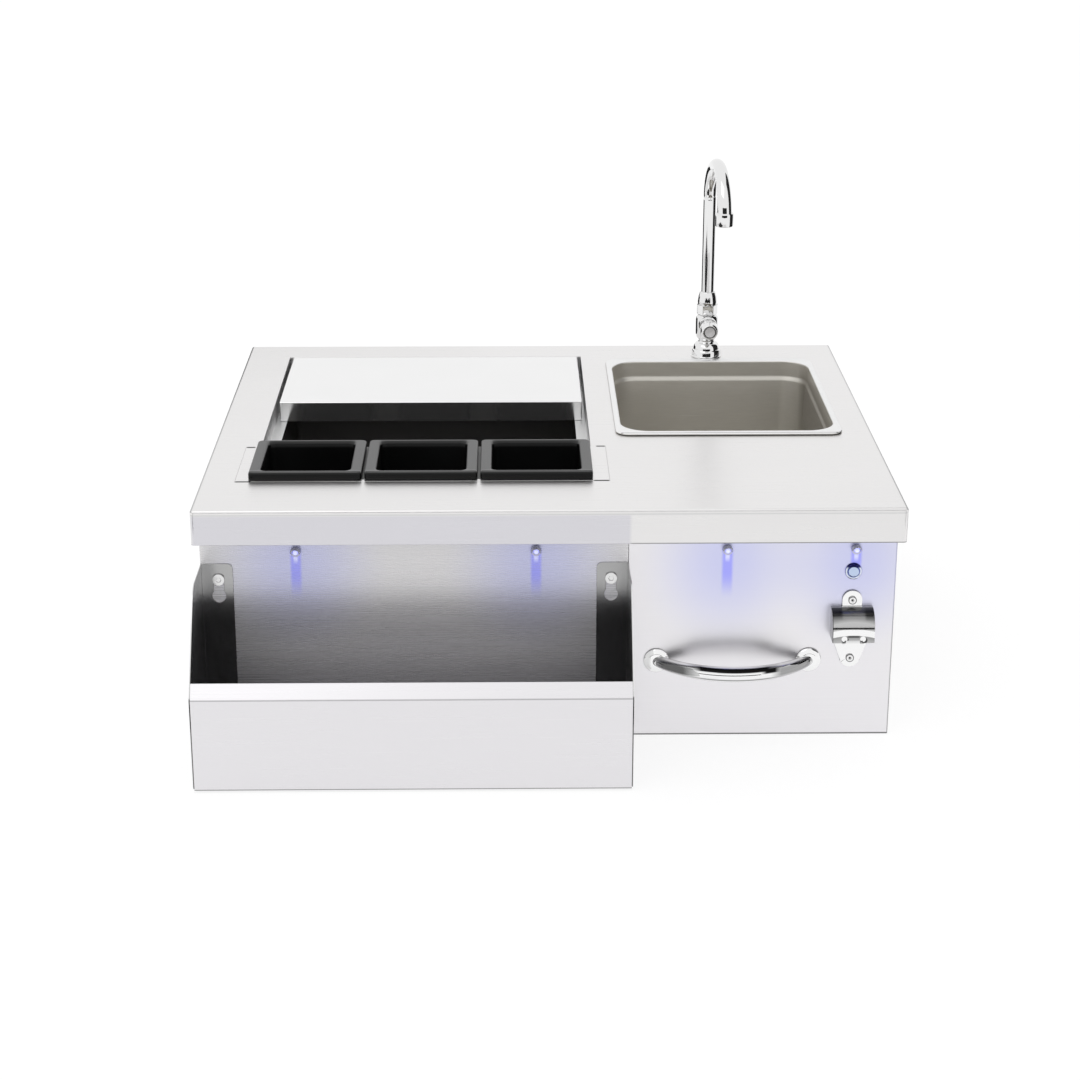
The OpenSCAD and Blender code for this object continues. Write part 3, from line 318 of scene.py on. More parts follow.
def darken_below(tree, place, base, fall):
    """Darkens a colour towards the lower of two heights. fall is (low, high, tone), or nothing."""
    if not fall:
        return base
    low, high, tone = fall
    share = fading(tree, height_of(tree, place), low * MM, high * MM, smooth=True)
    return darken(tree, base, share, tone)


def grey_pair(tone, low_share, high_share, tint):
    """Two colours of one tinted grey, a darker and a lighter one."""
    value = (tone / 255) ** DISPLAY_GAMMA
    return [tuple(min(1.0, value * share) * t for t in tint) + (1.0,) for share in (low_share, high_share)]


def connect(tree, shader, base, gloss, relief, lift, depth, metal=0.0):
    """Feeds a finish's colour, gloss, fine relief and share of metal to its shader."""
    tree.links.new(base, shader.inputs["Base Color"])
    tree.links.new(gloss, shader.inputs["Roughness"])
    bump = wire(tree, "Bump", {"Height": relief, "Strength": lift, "Distance": depth})
    tree.links.new(bump.outputs[0], shader.inputs["Normal"])
    shader.inputs["Metallic"].default_value = metal


def new_finish(name):
    """A material with its shader, and where on the piece a point lies."""
    made = bpy.data.materials.new(name)
    made.use_nodes = True
    tree = made.node_tree
    place = tree.nodes.new("ShaderNodeTexCoord").outputs["Object"]
    return made, tree, tree.nodes["Principled BSDF"], place


def add_lamp_glow(tree, shader, place, base):
    """The blue light of the four lamps painted on a panel's colour, with painted bright cores below the
    lamps, and a faint glow given off along the streaks.
    """
    halo_share, streak_share, strength = 0.68, 0.72, 0.28
    glow = wire(tree, "Group", {"Place": place}, node_tree=LAMP_GLOW)
    base = blend_tones(tree, times(tree, glow.outputs["Halo"], halo_share), base, shade(194, 198, 244))
    base = blend_tones(tree, times(tree, glow.outputs["Streak"], streak_share), base, shade(138, 140, 242))
    lamp_core_highlights = [((220, 222, 255), (("X", x, 2.3, 1.0), ("Z", 212.6, 5.0, 3.0))) for x in LIGHT_X]
    base = mark_places(tree, place, base, lamp_core_highlights)
    # The panel itself glows faintly along the painted streaks.
    lit = blend_tones(tree, glow.outputs["Streak"], BLACK, (0.14, 0.15, 0.42, 1))
    tree.links.new(lit, shader.inputs["Emission Color"])
    shader.inputs["Emission Strength"].default_value = strength
    return base


def brushed_steel(name, tone, rough=0.3, stretch=(5, 1100, 1100), cloud=(2, 7, 7), spread=0.05, fall=None,
                  lamps=False, scratches=0.12, lift=0.15, tint=(1.0, 0.99, 1.0), metal=1.0, bend=None,
                  crown=None, marks=()):
    """Steel sheet with a drawn grain.

    fall is (low, high, tone) and darkens towards low. bend is (height, half width, tone) and paints shade
    along a fold.
    crown is (low, high, tone) and turns to its tone above.
    """
    made, tree, shader, place = new_finish(name)
    lines = wire(tree, "Group", {"Place": place, "Stretch": stretch, "Cloud": cloud}, node_tree=BRUSH_LINES)
    scuffs = wire(tree, "Group", {"Place": place, "Amount": scratches}, node_tree=WIPING_SCRATCHES)
    low, high = grey_pair(tone, 1 - spread, 1 + spread, tint)
    line_share, cloud_share, wiped = 0.75, 0.6, (0.95, 0.95, 0.95, 1.0)
    grain = reckon(tree, "ADD", times(tree, lines.outputs["Lines"], line_share),
                   times(tree, lines.outputs["Cloud"], cloud_share))
    base = blend_tones(tree, between(tree, grain, 0.42, 0.95), low, high)
    base = blend_tones(tree, scuffs.outputs["Mask"], base, wiped)
    base = darken_below(tree, place, base, fall)
    # Painted shade: a dark line along a fold.
    if bend:
        height, half, bend_tone = bend
        off = reckon(tree, "ABSOLUTE", off_from(tree, height_of(tree, place), height * MM))
        base = darken(tree, base, fading(tree, off, half * MM * 0.4, half * MM), bend_tone)
    if crown:
        low, high, crown_tone = crown
        above = between(tree, height_of(tree, place), low * MM, high * MM)
        base = blend_tones(tree, above, base, shade(crown_tone))
    base = mark_places(tree, place, base, marks)
    if lamps:
        base = add_lamp_glow(tree, shader, place, base)
    gloss = between(tree, lines.outputs["Lines"], *NOISE_SPAN, rough * 0.88, rough * 1.12)
    connect(tree, shader, base, gloss, lines.outputs["Lines"], lift, 0.0001, metal)
    return made


def polished_metal(name, tone, rough=0.05, tint=(1.0, 1.0, 1.0), wave=0.12, fall=None, marks=(), metal=1.0):
    """Chrome or polished steel: a slow unevenness in the gloss, and a few wiping marks."""
    made, tree, shader, place = new_finish(name)
    skin = wire(tree, "Group", {"Place": place, "Scale": METAL_SKIN}, node_tree=MOULDED_GRAIN)
    scuffs = wire(tree, "Group", {"Place": place, "Amount": 0.25}, node_tree=WIPING_SCRATCHES)
    low, high = grey_pair(tone, 0.955, 1, tint)
    base = blend_tones(tree, skin.outputs["Cloud"], low, high)
    base = darken_below(tree, place, base, fall)
    base = mark_places(tree, place, base, marks)
    even = between(tree, skin.outputs["Cloud"], *NOISE_SPAN, rough * 0.7, rough * 1.3)
    gloss = reckon(tree, "ADD", even, times(tree, scuffs.outputs["Mask"], 0.25))
    connect(tree, shader, base, gloss, skin.outputs["Cloud"], wave, 0.0003, metal)
    return made


def moulded(name, colour, rough=0.4, scale=900.0, lift=0.25, spread=0.25, fall=None, sheen=0.5, marks=()):
    """Plastic, rubber or foam with a fine skin."""
    made, tree, shader, place = new_finish(name)
    skin = wire(tree, "Group", {"Place": place, "Scale": scale}, node_tree=MOULDED_GRAIN)
    dark = tuple(c * (1 - spread) for c in colour[:3]) + (1.0,)
    base = blend_tones(tree, between(tree, skin.outputs["Cloud"], *NOISE_SPAN), dark, colour)
    base = darken_below(tree, place, base, fall)
    base = mark_places(tree, place, base, marks)
    gloss = between(tree, skin.outputs["Cloud"], *NOISE_SPAN, rough * 0.85, rough * 1.15)
    connect(tree, shader, base, gloss, skin.outputs["Height"], lift, 0.0003)
    shader.inputs["Specular IOR Level"].default_value = sheen
    return made


def lit_lens(name):
    """The lamps' lenses, brightest at the tip."""
    made, tree, shader, place = new_finish(name)
    depth = wire(tree, "SeparateXYZ", {0: place}).outputs[1]
    tip = fading(tree, depth, (PANEL_Y - 5) * MM, (PANEL_Y - 1) * MM, smooth=True)
    glow = blend_tones(tree, tip, (0.30, 0.32, 0.90, 1.0), (0.56, 0.58, 1.0, 1.0))
    tree.links.new(glow, shader.inputs["Emission Color"])
    body = blend_tones(tree, tip, shade(120, 130, 255), shade(225, 228, 255))
    tree.links.new(body, shader.inputs["Base Color"])
    shader.inputs["Emission Strength"].default_value = 0.7
    shader.inputs["Roughness"].default_value = 0.15
    return made


def pressed_opener(name):
    """Chrome of the opener with its reflections painted in: dark corners, greys down to a bright bowed lip,
    two bright teeth with painted shadows in a recess.
    """
    made, tree, shader, place = new_finish(name)
    apart = wire(tree, "SeparateXYZ", {0: place})
    x, z = BUTTON[0], OPENER_Z
    half_width, sag = 0.023, 0.0028
    aside = reckon(tree, "DIVIDE", off_from(tree, apart.outputs[0], x * MM), half_width)
    bow = times(tree, times(tree, aside, aside), sag)
    up = reckon(tree, "ADD", off_from(tree, apart.outputs[2], z * MM), bow)
    reflection_bands = tree.nodes.new("ShaderNodeValToRGB")
    stops = reflection_bands.color_ramp.elements
    # Painted reflections: grey bands by height across the visor, with a painted bright band along the lip.
    greys = ((0.0, 205), (0.22, 165), (0.29, 150), (0.31, 252), (0.49, 252), (0.52, 190), (0.70, 196),
             (0.80, 150), (0.90, 128), (0.98, 84))
    for where, grey in greys:
        stops.new(where).color = shade(grey)
    stops.remove(stops[0])
    stops.remove(stops[-1])
    tree.links.new(between(tree, up, -0.010, 0.026), reflection_bands.inputs[0])
    # Painted reflections at the visor's top corners, painted shade in the slot and round the teeth, painted
    # highlights on the teeth, and painted shade on the visor's left side.
    corners = [(54, (("X", x - 19, 7, 1.5), ("Z", z + 24, 4.5, 2.5))),
               (54, (("X", x + 19, 6, 1.5), ("Z", z + 23, 4.5, 2.5)))]
    slot = [(72, (("X", x, 6.5, 1.0), ("Z", z - 0.4, 1.1, 0.5)))]
    tooth_shadows = [(64, (x - 9.2, z - 4.6, -1, 3.9)), (64, (x + 11.2, z - 4.6, -1, 3.9))]
    teeth = [(252, (x - 10, z - 3.2, -1, 3.2)), (252, (x + 10.2, z - 3.2, -1, 3.2))]
    left_side_shade = [(46, (("X", x - 24, 1.6, 0.2), ("Z", z + 8, 20, 1)))]
    tone = mark_places(tree, place, reflection_bands.outputs[0], corners + slot + tooth_shadows + teeth + left_side_shade)
    skin = wire(tree, "Group", {"Place": place, "Scale": METAL_SKIN}, node_tree=MOULDED_GRAIN)
    tone = blend_tones(tree, times(tree, skin.outputs["Cloud"], 0.15), tone, shade(120))
    # Painted shade on the plate under the visor and along the plate's edge.
    under_visor_shade = (186, (("X", x, 21, 2), ("Z", z - 9, 6, 3)))
    plate_edge_shade = (96, (("Y", PANEL_Y, 2.1, 0.2), ("X", x, 40, 1)))
    plate = mark_places(tree, place, shade(243), [under_visor_shade, plate_edge_shade])
    visor = fading(tree, apart.outputs[1], (PANEL_Y - 3.4) * MM, (PANEL_Y - 2.8) * MM)
    base = blend_tones(tree, visor, plate, tone)
    gloss = between(tree, skin.outputs["Cloud"], *NOISE_SPAN, 0.07, 0.13)
    connect(tree, shader, base, gloss, skin.outputs["Cloud"], 0.2, 0.0004, metal=1.0)
    return made


# Marks that finishes carry, each a tone and its bounds: dark seam ends, and painted shade, painted
# reflections and painted highlights at gaps, folds, edges, rims, screws, the bezel and the bar
# Painted shadow in the narrow gaps between the trays, on the plate below them.
TRAY_GAP_SHADOWS = [(16, (("X", x, 2.0, 0.3), ("Y", -118, 59, 1))) for x in (-203.7, -76.3)]
SEAM_ENDS = [(44, (("Y", -183.2, 2.0, 0.3), ("X", side, 8.5, 1))) for side in (-334.5, 58.5)]
SEAM_ENDS += [(44, (("Y", -59.2, 2.0, 0.3), ("X", side, 5, 1))) for side in (-338, 62)]
# Painted shade lines along the apron's foot, along its bend below the top, and on the side folds' rounded
# edges.
APRON_FOOT_SHADE = (140, (("Z", 241.2, 0.9, 0.3), ("Y", -280, 3, 0.5)))
# Painted shade: the left part of the apron's face a little darker.
APRON_LEFT_SHADE = ((217, 216, 221), (("Z", 256, 17.5, 1), ("Y", -281, 3, 0.5), ("X", -147, 233, 2)))
APRON_BEND_SHADE = (214, (("Z", 274.6, 0.7, 0.4), ("Y", -281, 3, 0.5)))
SIDE_FOLD_SHADES = [(170, (("X", side, 2.4, 0.8), ("Z", 279.5, 1.6, 0.4))) for side in (381, -381)]
# All the painted shade on the top's folds and apron.
FOLD_SHADES = [APRON_FOOT_SHADE, APRON_LEFT_SHADE, APRON_BEND_SHADE] + SIDE_FOLD_SHADES
SCREW_HEIGHTS = (OPENER_Z - 34, OPENER_Z + 34)
# Painted shade round each opener screw's head and in its middle.
SCREW_SHADES = [(70, (BUTTON[0], z, 3.7, 4.6)) for z in SCREW_HEIGHTS]
SCREW_SHADES += [(60, (BUTTON[0], z, -1, 1.3)) for z in SCREW_HEIGHTS]
# Painted shade on the trays' front and rear rims, and a painted highlight line along the front rim's inner
# edge.
RIM_SHADES = [(14, (("Y", -175.6, 5.3, 0.4),)), (128, (("Y", -169.4, 0.9, 0.3), ("Z", 287, 2, 0.5)))]
RIM_SHADES += [(44, (("Y", -63.4, 3.9, 0.4), ("X", x, 49, 1), ("Z", 286, 4, 1))) for x in TRAY_X]
# Painted shade lines along the right panel's foot and right edge.
PANEL_FOOT_SHADE = (120, (("Z", 0.6, 1.2, 0.4), ("Y", PANEL_Y, 2, 0.5)))
PANEL_SIDE_SHADE = (150, (("X", 378, 1.2, 0.4), ("Y", PANEL_Y, 2, 0.5)))
# Painted shade line along the foot of the rail's trough.
TROUGH_FOOT_SHADE = (120, (("Z", 1.6, 1.5, 0.4), ("Y", -380, 3, 0.5)))
# Painted shade along the rail end plates' front edges.
RAIL_END_EDGE_SHADE = (120, (("Y", -380.3, 1.8, 0.5),))
# Painted shade: a dark line along the sink rim's front, and the bowl's right wall darker.
SINK_RIM_FRONT_SHADE = (128, (("Y", -17.6, 0.8, 0.3), ("Z", 283, 1, 0.2)))
SINK_RIGHT_WALL_SHADE = ((160, 156, 149), (("X", 341, 9, 3), ("Z", 195, 76, 8)))
CAP_EDGE = (96, (FAUCET[0], KNOB_Z, 6.4, 8))
# Painted shade where the handle's feet meet the panel.
FOOT_EDGE_SHADE = (84, (("Y", PANEL_Y, 1.3, 0.2), ("X", 202, 120, 1)))
# Painted reflections on the button's bezel: a bluish ring inside, a paler ring outside, and a dark crescent
# along its top.
BEZEL_REFLECTIONS = [
    ((118, 122, 176), (BUTTON[0], BUTTON[2], 5.6, 6.8)),
    ((150, 154, 200), (BUTTON[0], BUTTON[2], 8.9, 10)),
    ((40, 42, 96), (("X", BUTTON[0], 7.4, 1.2), ("Z", 201.6, 2.9, 0.8))),
]
# Painted reflections on the chrome bar: greyer patches near its ends, dark stripes along its upper side, and
# a grey line below.
BAR_REFLECTIONS = [
    (112, (("X", HANDLE[0] - 68, 20, 9), ("Z", 91.5, 5.2, 2))),
    (160, (("X", HANDLE[0] + 66, 22, 6), ("Z", 91.5, 5.2, 2))),
    (22, (("Z", 96.3, 1.8, 0.4), ("X", HANDLE[0] - 2, 44, 8))),
    (22, (("Z", 94.6, 2.2, 0.6), ("X", HANDLE[0] + 38, 8, 3))),
    (150, (("Z", 86.2, 0.9, 0.6), ("X", HANDLE[0], 50, 16))),
]

FINISH = {
    "brushed_top": brushed_steel("brushed_top_steel", 232, spread=0.014, lift=0.08, tint=WARM,
                                 marks=SEAM_ENDS + FOLD_SHADES),
    "brushed_plate": brushed_steel("brushed_tray_plate", 232, spread=0.014, lift=0.08, tint=WARM,
                                   marks=TRAY_GAP_SHADOWS + SEAM_ENDS),
    # The left panel's fall is painted shade: darker towards the rail, for the trough's dark reflection.
    "brushed_left": brushed_steel("brushed_left_panel", 228, 0.28, spread=0.01, lift=0.01, lamps=True,
                                  metal=0.6, scratches=0.08, fall=(50, 118, 196)),
    "brushed_right": brushed_steel("brushed_right_panel", 237, 0.32, spread=0.02, lamps=True, tint=ROSY,
                                   marks=[PANEL_FOOT_SHADE, PANEL_SIDE_SHADE]),
    "brushed_side": brushed_steel("brushed_side_panel", 236, 0.32, spread=0.03, stretch=(1100, 5, 1100),
                                  cloud=(7, 2, 7)),
    "brushed_rear": brushed_steel("brushed_rear_panel", 236, 0.32, spread=0.03),
    # The trough's lip fold has a painted shade line (bend).
    "brushed_trough": brushed_steel("brushed_trough", 229, spread=0.008, lift=0.05, tint=ROSY,
                                    bend=(105.3, 1.0, 205), marks=[TROUGH_FOOT_SHADE]),
    "rail_end": polished_metal("rail_end_steel", 228, 0.14, marks=[RAIL_END_EDGE_SHADE]),
    # Painted reflection: the inner faces darker, and darker still towards the bottom, for the rail's dark
    # inside.
    "rail_end_inside": polished_metal("rail_end_inner_face", 178, 0.2, fall=(135, 192, 148), metal=0.85),
    "lid": polished_metal("lid_steel", 240, 0.09, metal=0.95),
    "plain_steel": polished_metal("plain_steel", 222, 0.34),
    "satin_bowl": brushed_steel("satin_bowl_steel", 201, 0.38, tint=(1.0, 0.965, 0.885), metal=0.72,
                                stretch=(60, 60, 500), cloud=(9, 9, 9), lift=0.1, crown=(281.2, 282.2, 240),
                                marks=[SINK_RIM_FRONT_SHADE, SINK_RIGHT_WALL_SHADE]),
    "chrome": polished_metal("chrome_plate", 233, 0.04),
    # The hoods' blue tint is painted lamp light.
    "hood_chrome": polished_metal("lamp_hood_chrome", 240, 0.4, tint=(0.86, 0.86, 1.0), metal=0.0),
    "bezel_chrome": polished_metal("button_bezel_chrome", 236, 0.06, tint=(0.84, 0.88, 1.0),
                                   marks=BEZEL_REFLECTIONS),
    "handle_chrome": polished_metal("handle_chrome", 243, 0.04, marks=BAR_REFLECTIONS),
    "foot_chrome": polished_metal("handle_foot_chrome", 245, 0.06, marks=[FOOT_EDGE_SHADE]),
    "screw_steel": polished_metal("screw_steel", 225, 0.14),
    "opener_screws": polished_metal("opener_screw_steel", 236, 0.12, marks=SCREW_SHADES),
    "index_cap": brushed_steel("knob_cap_grey", 226, 0.5, stretch=(900, 20, 900), scratches=0.05,
                               metal=0.35, marks=[CAP_EDGE]),
    "button": polished_metal("button_cap_chrome", 232, 0.12, tint=(0.64, 0.76, 1.0)),
    # Painted sheen: the rim tops lighter, the trays darkened below them (fall), with painted shade and
    # highlights on the rims.
    "tray_plastic": moulded("black_tray_plastic", shade(96), 0.34, lift=0.08, fall=(284.9, 287.6, 40),
                            sheen=0.2, marks=RIM_SHADES),
    "liner_plastic": moulded("black_liner_plastic", shade(106, 104, 102), 0.5),
    "foam": moulded("insulation_foam", shade(232, 222, 190), 0.85, scale=320.0, lift=0.6, spread=0.12),
    "rubber": moulded("black_rubber", shade(48), 0.7, lift=0.4),
    "dark_plastic": moulded("dark_casing_plastic", shade(38), 0.42),
    "light_lens": lit_lens("blue_lamp_lens"),
    "opener": pressed_opener("opener_chrome"),
}
FINISH.update({"brushed_panel": FINISH["brushed_rear"], "polished_steel": FINISH["lid"]})


# ---- Shaping helpers ----


def only(obj):
    """Makes obj the one selected and active object."""
    bpy.ops.object.select_all(action="DESELECT")
    obj.select_set(True)
    bpy.context.view_layer.objects.active = obj


def open_mesh(obj):
    """Starts work on a piece's mesh, with all of it selected."""
    only(obj)
    bpy.ops.object.mode_set(mode="EDIT")
    bpy.ops.mesh.select_all(action="SELECT")


def close_mesh():
    """Turns all faces outwards and ends work on the mesh."""
    bpy.ops.mesh.select_all(action="SELECT")
    bpy.ops.mesh.normals_make_consistent(inside=False)
    bpy.ops.object.mode_set(mode="OBJECT")


def settle(obj, node, finish, smooth=32):
    """Fixes a finished piece where it stands, shades it, and puts it on its body instead of its CAD node."""
    only(obj)
    bpy.ops.object.transform_apply(location=True, rotation=True, scale=True)
    if smooth:
        bpy.ops.object.shade_smooth_by_angle(angle=radians(smooth))
    obj.name = obj.data.name = node + "_shown"
    obj.data.materials.clear()
    obj.data.materials.append(FINISH[finish])
    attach(obj, NODES[node]["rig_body"])
    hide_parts(node)


def join_pieces(pieces):
    """Makes the first piece take in the others."""
    only(pieces[0])
    for piece in pieces[1:]:
        piece.select_set(True)
    bpy.ops.object.join()
    return pieces[0]


def keep_flat(obj):
    """Lets large flat faces shade flat, so that only the rolled edges catch the light."""
    only(obj)
    bpy.ops.object.modifier_add(type="WEIGHTED_NORMAL")
    obj.modifiers[-1].weight = 100
    obj.modifiers[-1].keep_sharp = True
    bpy.ops.object.modifier_apply(modifier=obj.modifiers[-1].name)


def soften(node, finish, width):
    """A copy of a CAD node whose sharp edges are rolled over, as pressed and polished edges are."""
    rounding_steps, sharp_angle, smooth_angle = 3, 38, 40
    obj = bpy.data.objects.new(node + "_shown", NODES[node].data.copy())
    bpy.context.scene.collection.objects.link(obj)
    only(obj)
    if obj.data.has_custom_normals:
        bpy.ops.mesh.customdata_custom_splitnormals_clear()
    open_mesh(obj)
    bpy.ops.mesh.remove_doubles(threshold=0.000004)
    bpy.ops.mesh.dissolve_limited(angle_limit=radians(0.4))
    bpy.ops.object.mode_set(mode="OBJECT")
    bpy.ops.object.modifier_add(type="BEVEL")
    bevel = obj.modifiers[-1]
    bevel.width = width * MM
    bevel.segments = rounding_steps
    bevel.limit_method = "ANGLE"
    bevel.angle_limit = radians(sharp_angle)
    bevel.use_clamp_overlap = False
    bpy.ops.object.modifier_apply(modifier=bevel.name)
    bpy.ops.object.shade_smooth_by_angle(angle=radians(smooth_angle))
    keep_flat(obj)
    settle(obj, node, finish, smooth=None)


def spread_sideways(node, gap):
    """Makes a sheet this much wider on each side, to close a seam that the finished joint hides."""
    low, high = (corner[0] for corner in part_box(node))
    middle, gap = (low + high) / 2, gap * MM
    open_mesh(bpy.data.objects[node + "_shown"])
    bpy.ops.transform.resize(value=(1 + 2 * gap / (high - low), 1, 1), center_override=(middle, 0, 0))
    bpy.ops.object.mode_set(mode="OBJECT")


def darken_inner_faces(node, side):
    """The end plates' faces that look into the rail mirror its dark inside, and also get a darker finish, a
    painted reflection of that dark inside.
    """
    facing, flange_front = 0.5, -0.25
    obj = bpy.data.objects[node + "_shown"]
    obj.data.materials.append(FINISH["rail_end_inside"])
    only(obj)
    bpy.ops.object.mode_set(mode="EDIT")
    bpy.ops.mesh.select_mode(type="FACE")
    mesh = bmesh.from_edit_mesh(obj.data)
    for face in mesh.faces:
        inward = face.normal.x * side > facing
        forward = face.normal.y < -facing and face.calc_center_median().y > flange_front
        face.select_set(inward or forward)
    bmesh.update_edit_mesh(obj.data)
    obj.active_material_index = 1
    bpy.ops.object.material_slot_assign()
    bpy.ops.object.mode_set(mode="OBJECT")


def drawn_ring(obj, k):
    """Marks the newest points of the mesh in edit mode as ring number k."""
    mesh = bmesh.from_edit_mesh(obj.data)
    mark = mesh.verts.layers.int.get("ring") or mesh.verts.layers.int.new("ring")
    for v in mesh.verts:
        if v[mark] == 0:
            v[mark] = k
    bmesh.update_edit_mesh(obj.data)


def pick_rings(obj, *rings):
    """Selects the points of these rings, and nothing else."""
    mesh = bmesh.from_edit_mesh(obj.data)
    mark = mesh.verts.layers.int["ring"]
    mesh.select_mode = {"VERT"}
    for part in (mesh.faces, mesh.edges, mesh.verts):
        for item in part:
            item.select_set(False)
    for v in mesh.verts:
        if v[mark] in rings:
            v.select_set(True)
    mesh.select_flush_mode()
    bmesh.update_edit_mesh(obj.data)


def join_rings(obj, count, closed, moves=()):
    """Bridges the rings in turn, closes the ends, moves rings to their heights, and turns faces outwards."""
    bpy.ops.mesh.select_mode(type="VERT")
    for k in range(1, count):
        pick_rings(obj, k, k + 1)
        bpy.ops.mesh.bridge_edge_loops()
    if closed:
        pick_rings(obj, count, 1)
        bpy.ops.mesh.bridge_edge_loops()
    else:
        for k in (1, count):
            pick_rings(obj, k)
            bpy.ops.mesh.edge_face_add()
    for k, move in enumerate(moves, 1):
        pick_rings(obj, k)
        bpy.ops.transform.translate(value=(0, 0, move))
    close_mesh()
    obj.data.attributes.remove(obj.data.attributes["ring"])
    return obj


def loft_frames(rings, corner, closed=False):
    """A shape drawn through round-cornered rectangles: each ring is (width, depth, radius, x, y, z).

    The rings are bridged while they stand apart, because rings in one plane would be joined with a twist.
    """
    bpy.ops.object.select_all(action="DESELECT")
    obj, apart = None, 0.02
    for k, (w, d, r, x, y, _) in enumerate(rings, 1):
        bpy.ops.mesh.primitive_plane_add(size=1, location=(0, 0, 0))
        if obj is None:
            obj = bpy.context.object
            bpy.ops.object.mode_set(mode="EDIT")
            bpy.ops.mesh.select_mode(type="VERT")
        bpy.ops.transform.resize(value=(w * MM, d * MM, 1), center_override=(0, 0, 0))
        bpy.ops.mesh.bevel(offset=r * MM, segments=corner, affect="VERTICES", offset_type="OFFSET")
        bpy.ops.transform.translate(value=(x * MM, y * MM, k * apart))
        bpy.ops.mesh.delete(type="ONLY_FACE")
        drawn_ring(obj, k)
    moves = [ring[5] * MM - k * apart for k, ring in enumerate(rings, 1)]
    return join_rings(obj, len(rings), closed, moves)


def loft_circles(rings, sides, closed=False):
    """A shape drawn through circles: each ring is (radius, centre, direction it faces)."""
    bpy.ops.object.select_all(action="DESELECT")
    obj = None
    for k, (radius, centre, facing) in enumerate(rings, 1):
        turn = Vector(facing).to_track_quat("Z", "Y")
        place = Vector(centre) * MM
        if obj is None:
            bpy.ops.mesh.primitive_circle_add(vertices=sides, radius=radius * MM, location=(0, 0, 0))
            obj = bpy.context.object
            bpy.ops.object.mode_set(mode="EDIT")
            bpy.ops.mesh.select_mode(type="VERT")
            mesh = bmesh.from_edit_mesh(obj.data)
            stand = Matrix.Translation(place) @ turn.to_matrix().to_4x4()
            bmesh.ops.transform(mesh, matrix=stand, verts=mesh.verts)
            bmesh.update_edit_mesh(obj.data)
        else:
            bpy.ops.mesh.primitive_circle_add(
                vertices=sides, radius=radius * MM, location=place, rotation=turn.to_euler()
            )
        drawn_ring(obj, k)
    return join_rings(obj, len(rings), closed)


def turned(profile, at=(0, 0, 0), facing="up", sides=48, closed=False):
    """A turned piece: a circle drawn out ring by ring.

    profile is (radius, height) pairs. A closed one comes back to its first pair, as for a ring or a tube.
    """
    bpy.ops.object.select_all(action="DESELECT")
    radius, height = profile[0]
    bpy.ops.mesh.primitive_circle_add(
        vertices=sides, radius=radius * MM, location=(0, 0, 0), fill_type="NOTHING" if closed else "NGON"
    )
    obj = bpy.context.object
    bpy.ops.object.mode_set(mode="EDIT")
    bpy.ops.mesh.select_mode(type="VERT")
    bpy.ops.transform.translate(value=(0, 0, height * MM))
    for r, h in profile[1:] + (profile[:1] if closed else []):
        bpy.ops.mesh.extrude_region_move(TRANSFORM_OT_translate={"value": (0, 0, (h - height) * MM)})
        bpy.ops.transform.resize(value=(r / radius, r / radius, 1), center_override=(0, 0, h * MM))
        radius, height = r, h
    bpy.ops.mesh.select_all(action="SELECT")
    bpy.ops.mesh.remove_doubles(threshold=0.000001)
    close_mesh()
    obj.location = [c * MM for c in at]
    if facing == "front":
        obj.rotation_euler = (radians(90), 0, 0)
    return obj


def copy_of(obj, x):
    """A copy with its own mesh, moved sideways by this much."""
    twin = obj.copy()
    twin.data = obj.data.copy()
    bpy.context.scene.collection.objects.link(twin)
    twin.location.x = x * MM
    return twin


def arc(up, radius, start, end, steps):
    """Points of an arc in degrees round a centre at this height, as (out, up) pairs."""
    turns = [radians(start + (end - start) * i / steps) for i in range(steps + 1)]
    return [(radius * cos(a), up + radius * sin(a)) for a in turns]


# ---- Trays ----


def make_trays():
    """Deep black trays with a rolled rim, modelled once and copied."""
    rim_z, rim_h, taper, low = 280.3, 7.8, 5.0, 190.3
    rim_w, rim_d, rim_r, front_y = 124.0, 122.6, 5, -179
    y = front_y + rim_d / 2
    front_lip, back_lip = 11.6, 7.5
    mouth_w, mouth_d, mouth_y = 99.0, 103.5, y + (front_lip - back_lip) / 2
    outer_roll, inner_roll, inner_corner = 2.2, 3.0, 8

    def around_mouth(grow, corner, z):
        return (mouth_w + grow, mouth_d + grow, corner, 0, mouth_y, z)

    def around_rim(grow, z):
        return (rim_w + grow, rim_d + grow, rim_r, 0, y, z)

    rings = [around_mouth(5 - 2 * taper, 9.5, low), around_mouth(6.5 - 2 * taper, 10, low + 1.2),
             around_mouth(4.6, 10, rim_z), around_rim(-0.8, rim_z), around_rim(0, rim_z + 0.6),
             around_rim(0, rim_z + rim_h - outer_roll)]
    for out, up in arc(rim_z + rim_h - outer_roll, outer_roll, 0, 90, 6)[1:]:
        rings.append(around_rim(2 * (out - outer_roll), up))
    for out, up in arc(rim_z + rim_h - inner_roll, inner_roll, 90, 0, 6):
        corner = inner_corner + 1.5 * out / inner_roll
        rings.append(around_mouth(2 * (inner_roll - out), corner, up))
    rings.append(around_mouth(-1, inner_corner, rim_z - 4))
    for grow, up in ((3, 6.5), (-1, 3.2), (-6, 2.5)):
        rings.append(around_mouth(grow - 2 * taper, inner_corner, low + up))
    first = loft_frames(rings, corner=8)
    for node, x in zip(("tray_left", "tray_middle", "tray_right"), TRAY_X):
        settle(copy_of(first, x), node, "tray_plastic", smooth=40)
    bpy.data.objects.remove(first)


# ---- Ice bin ----


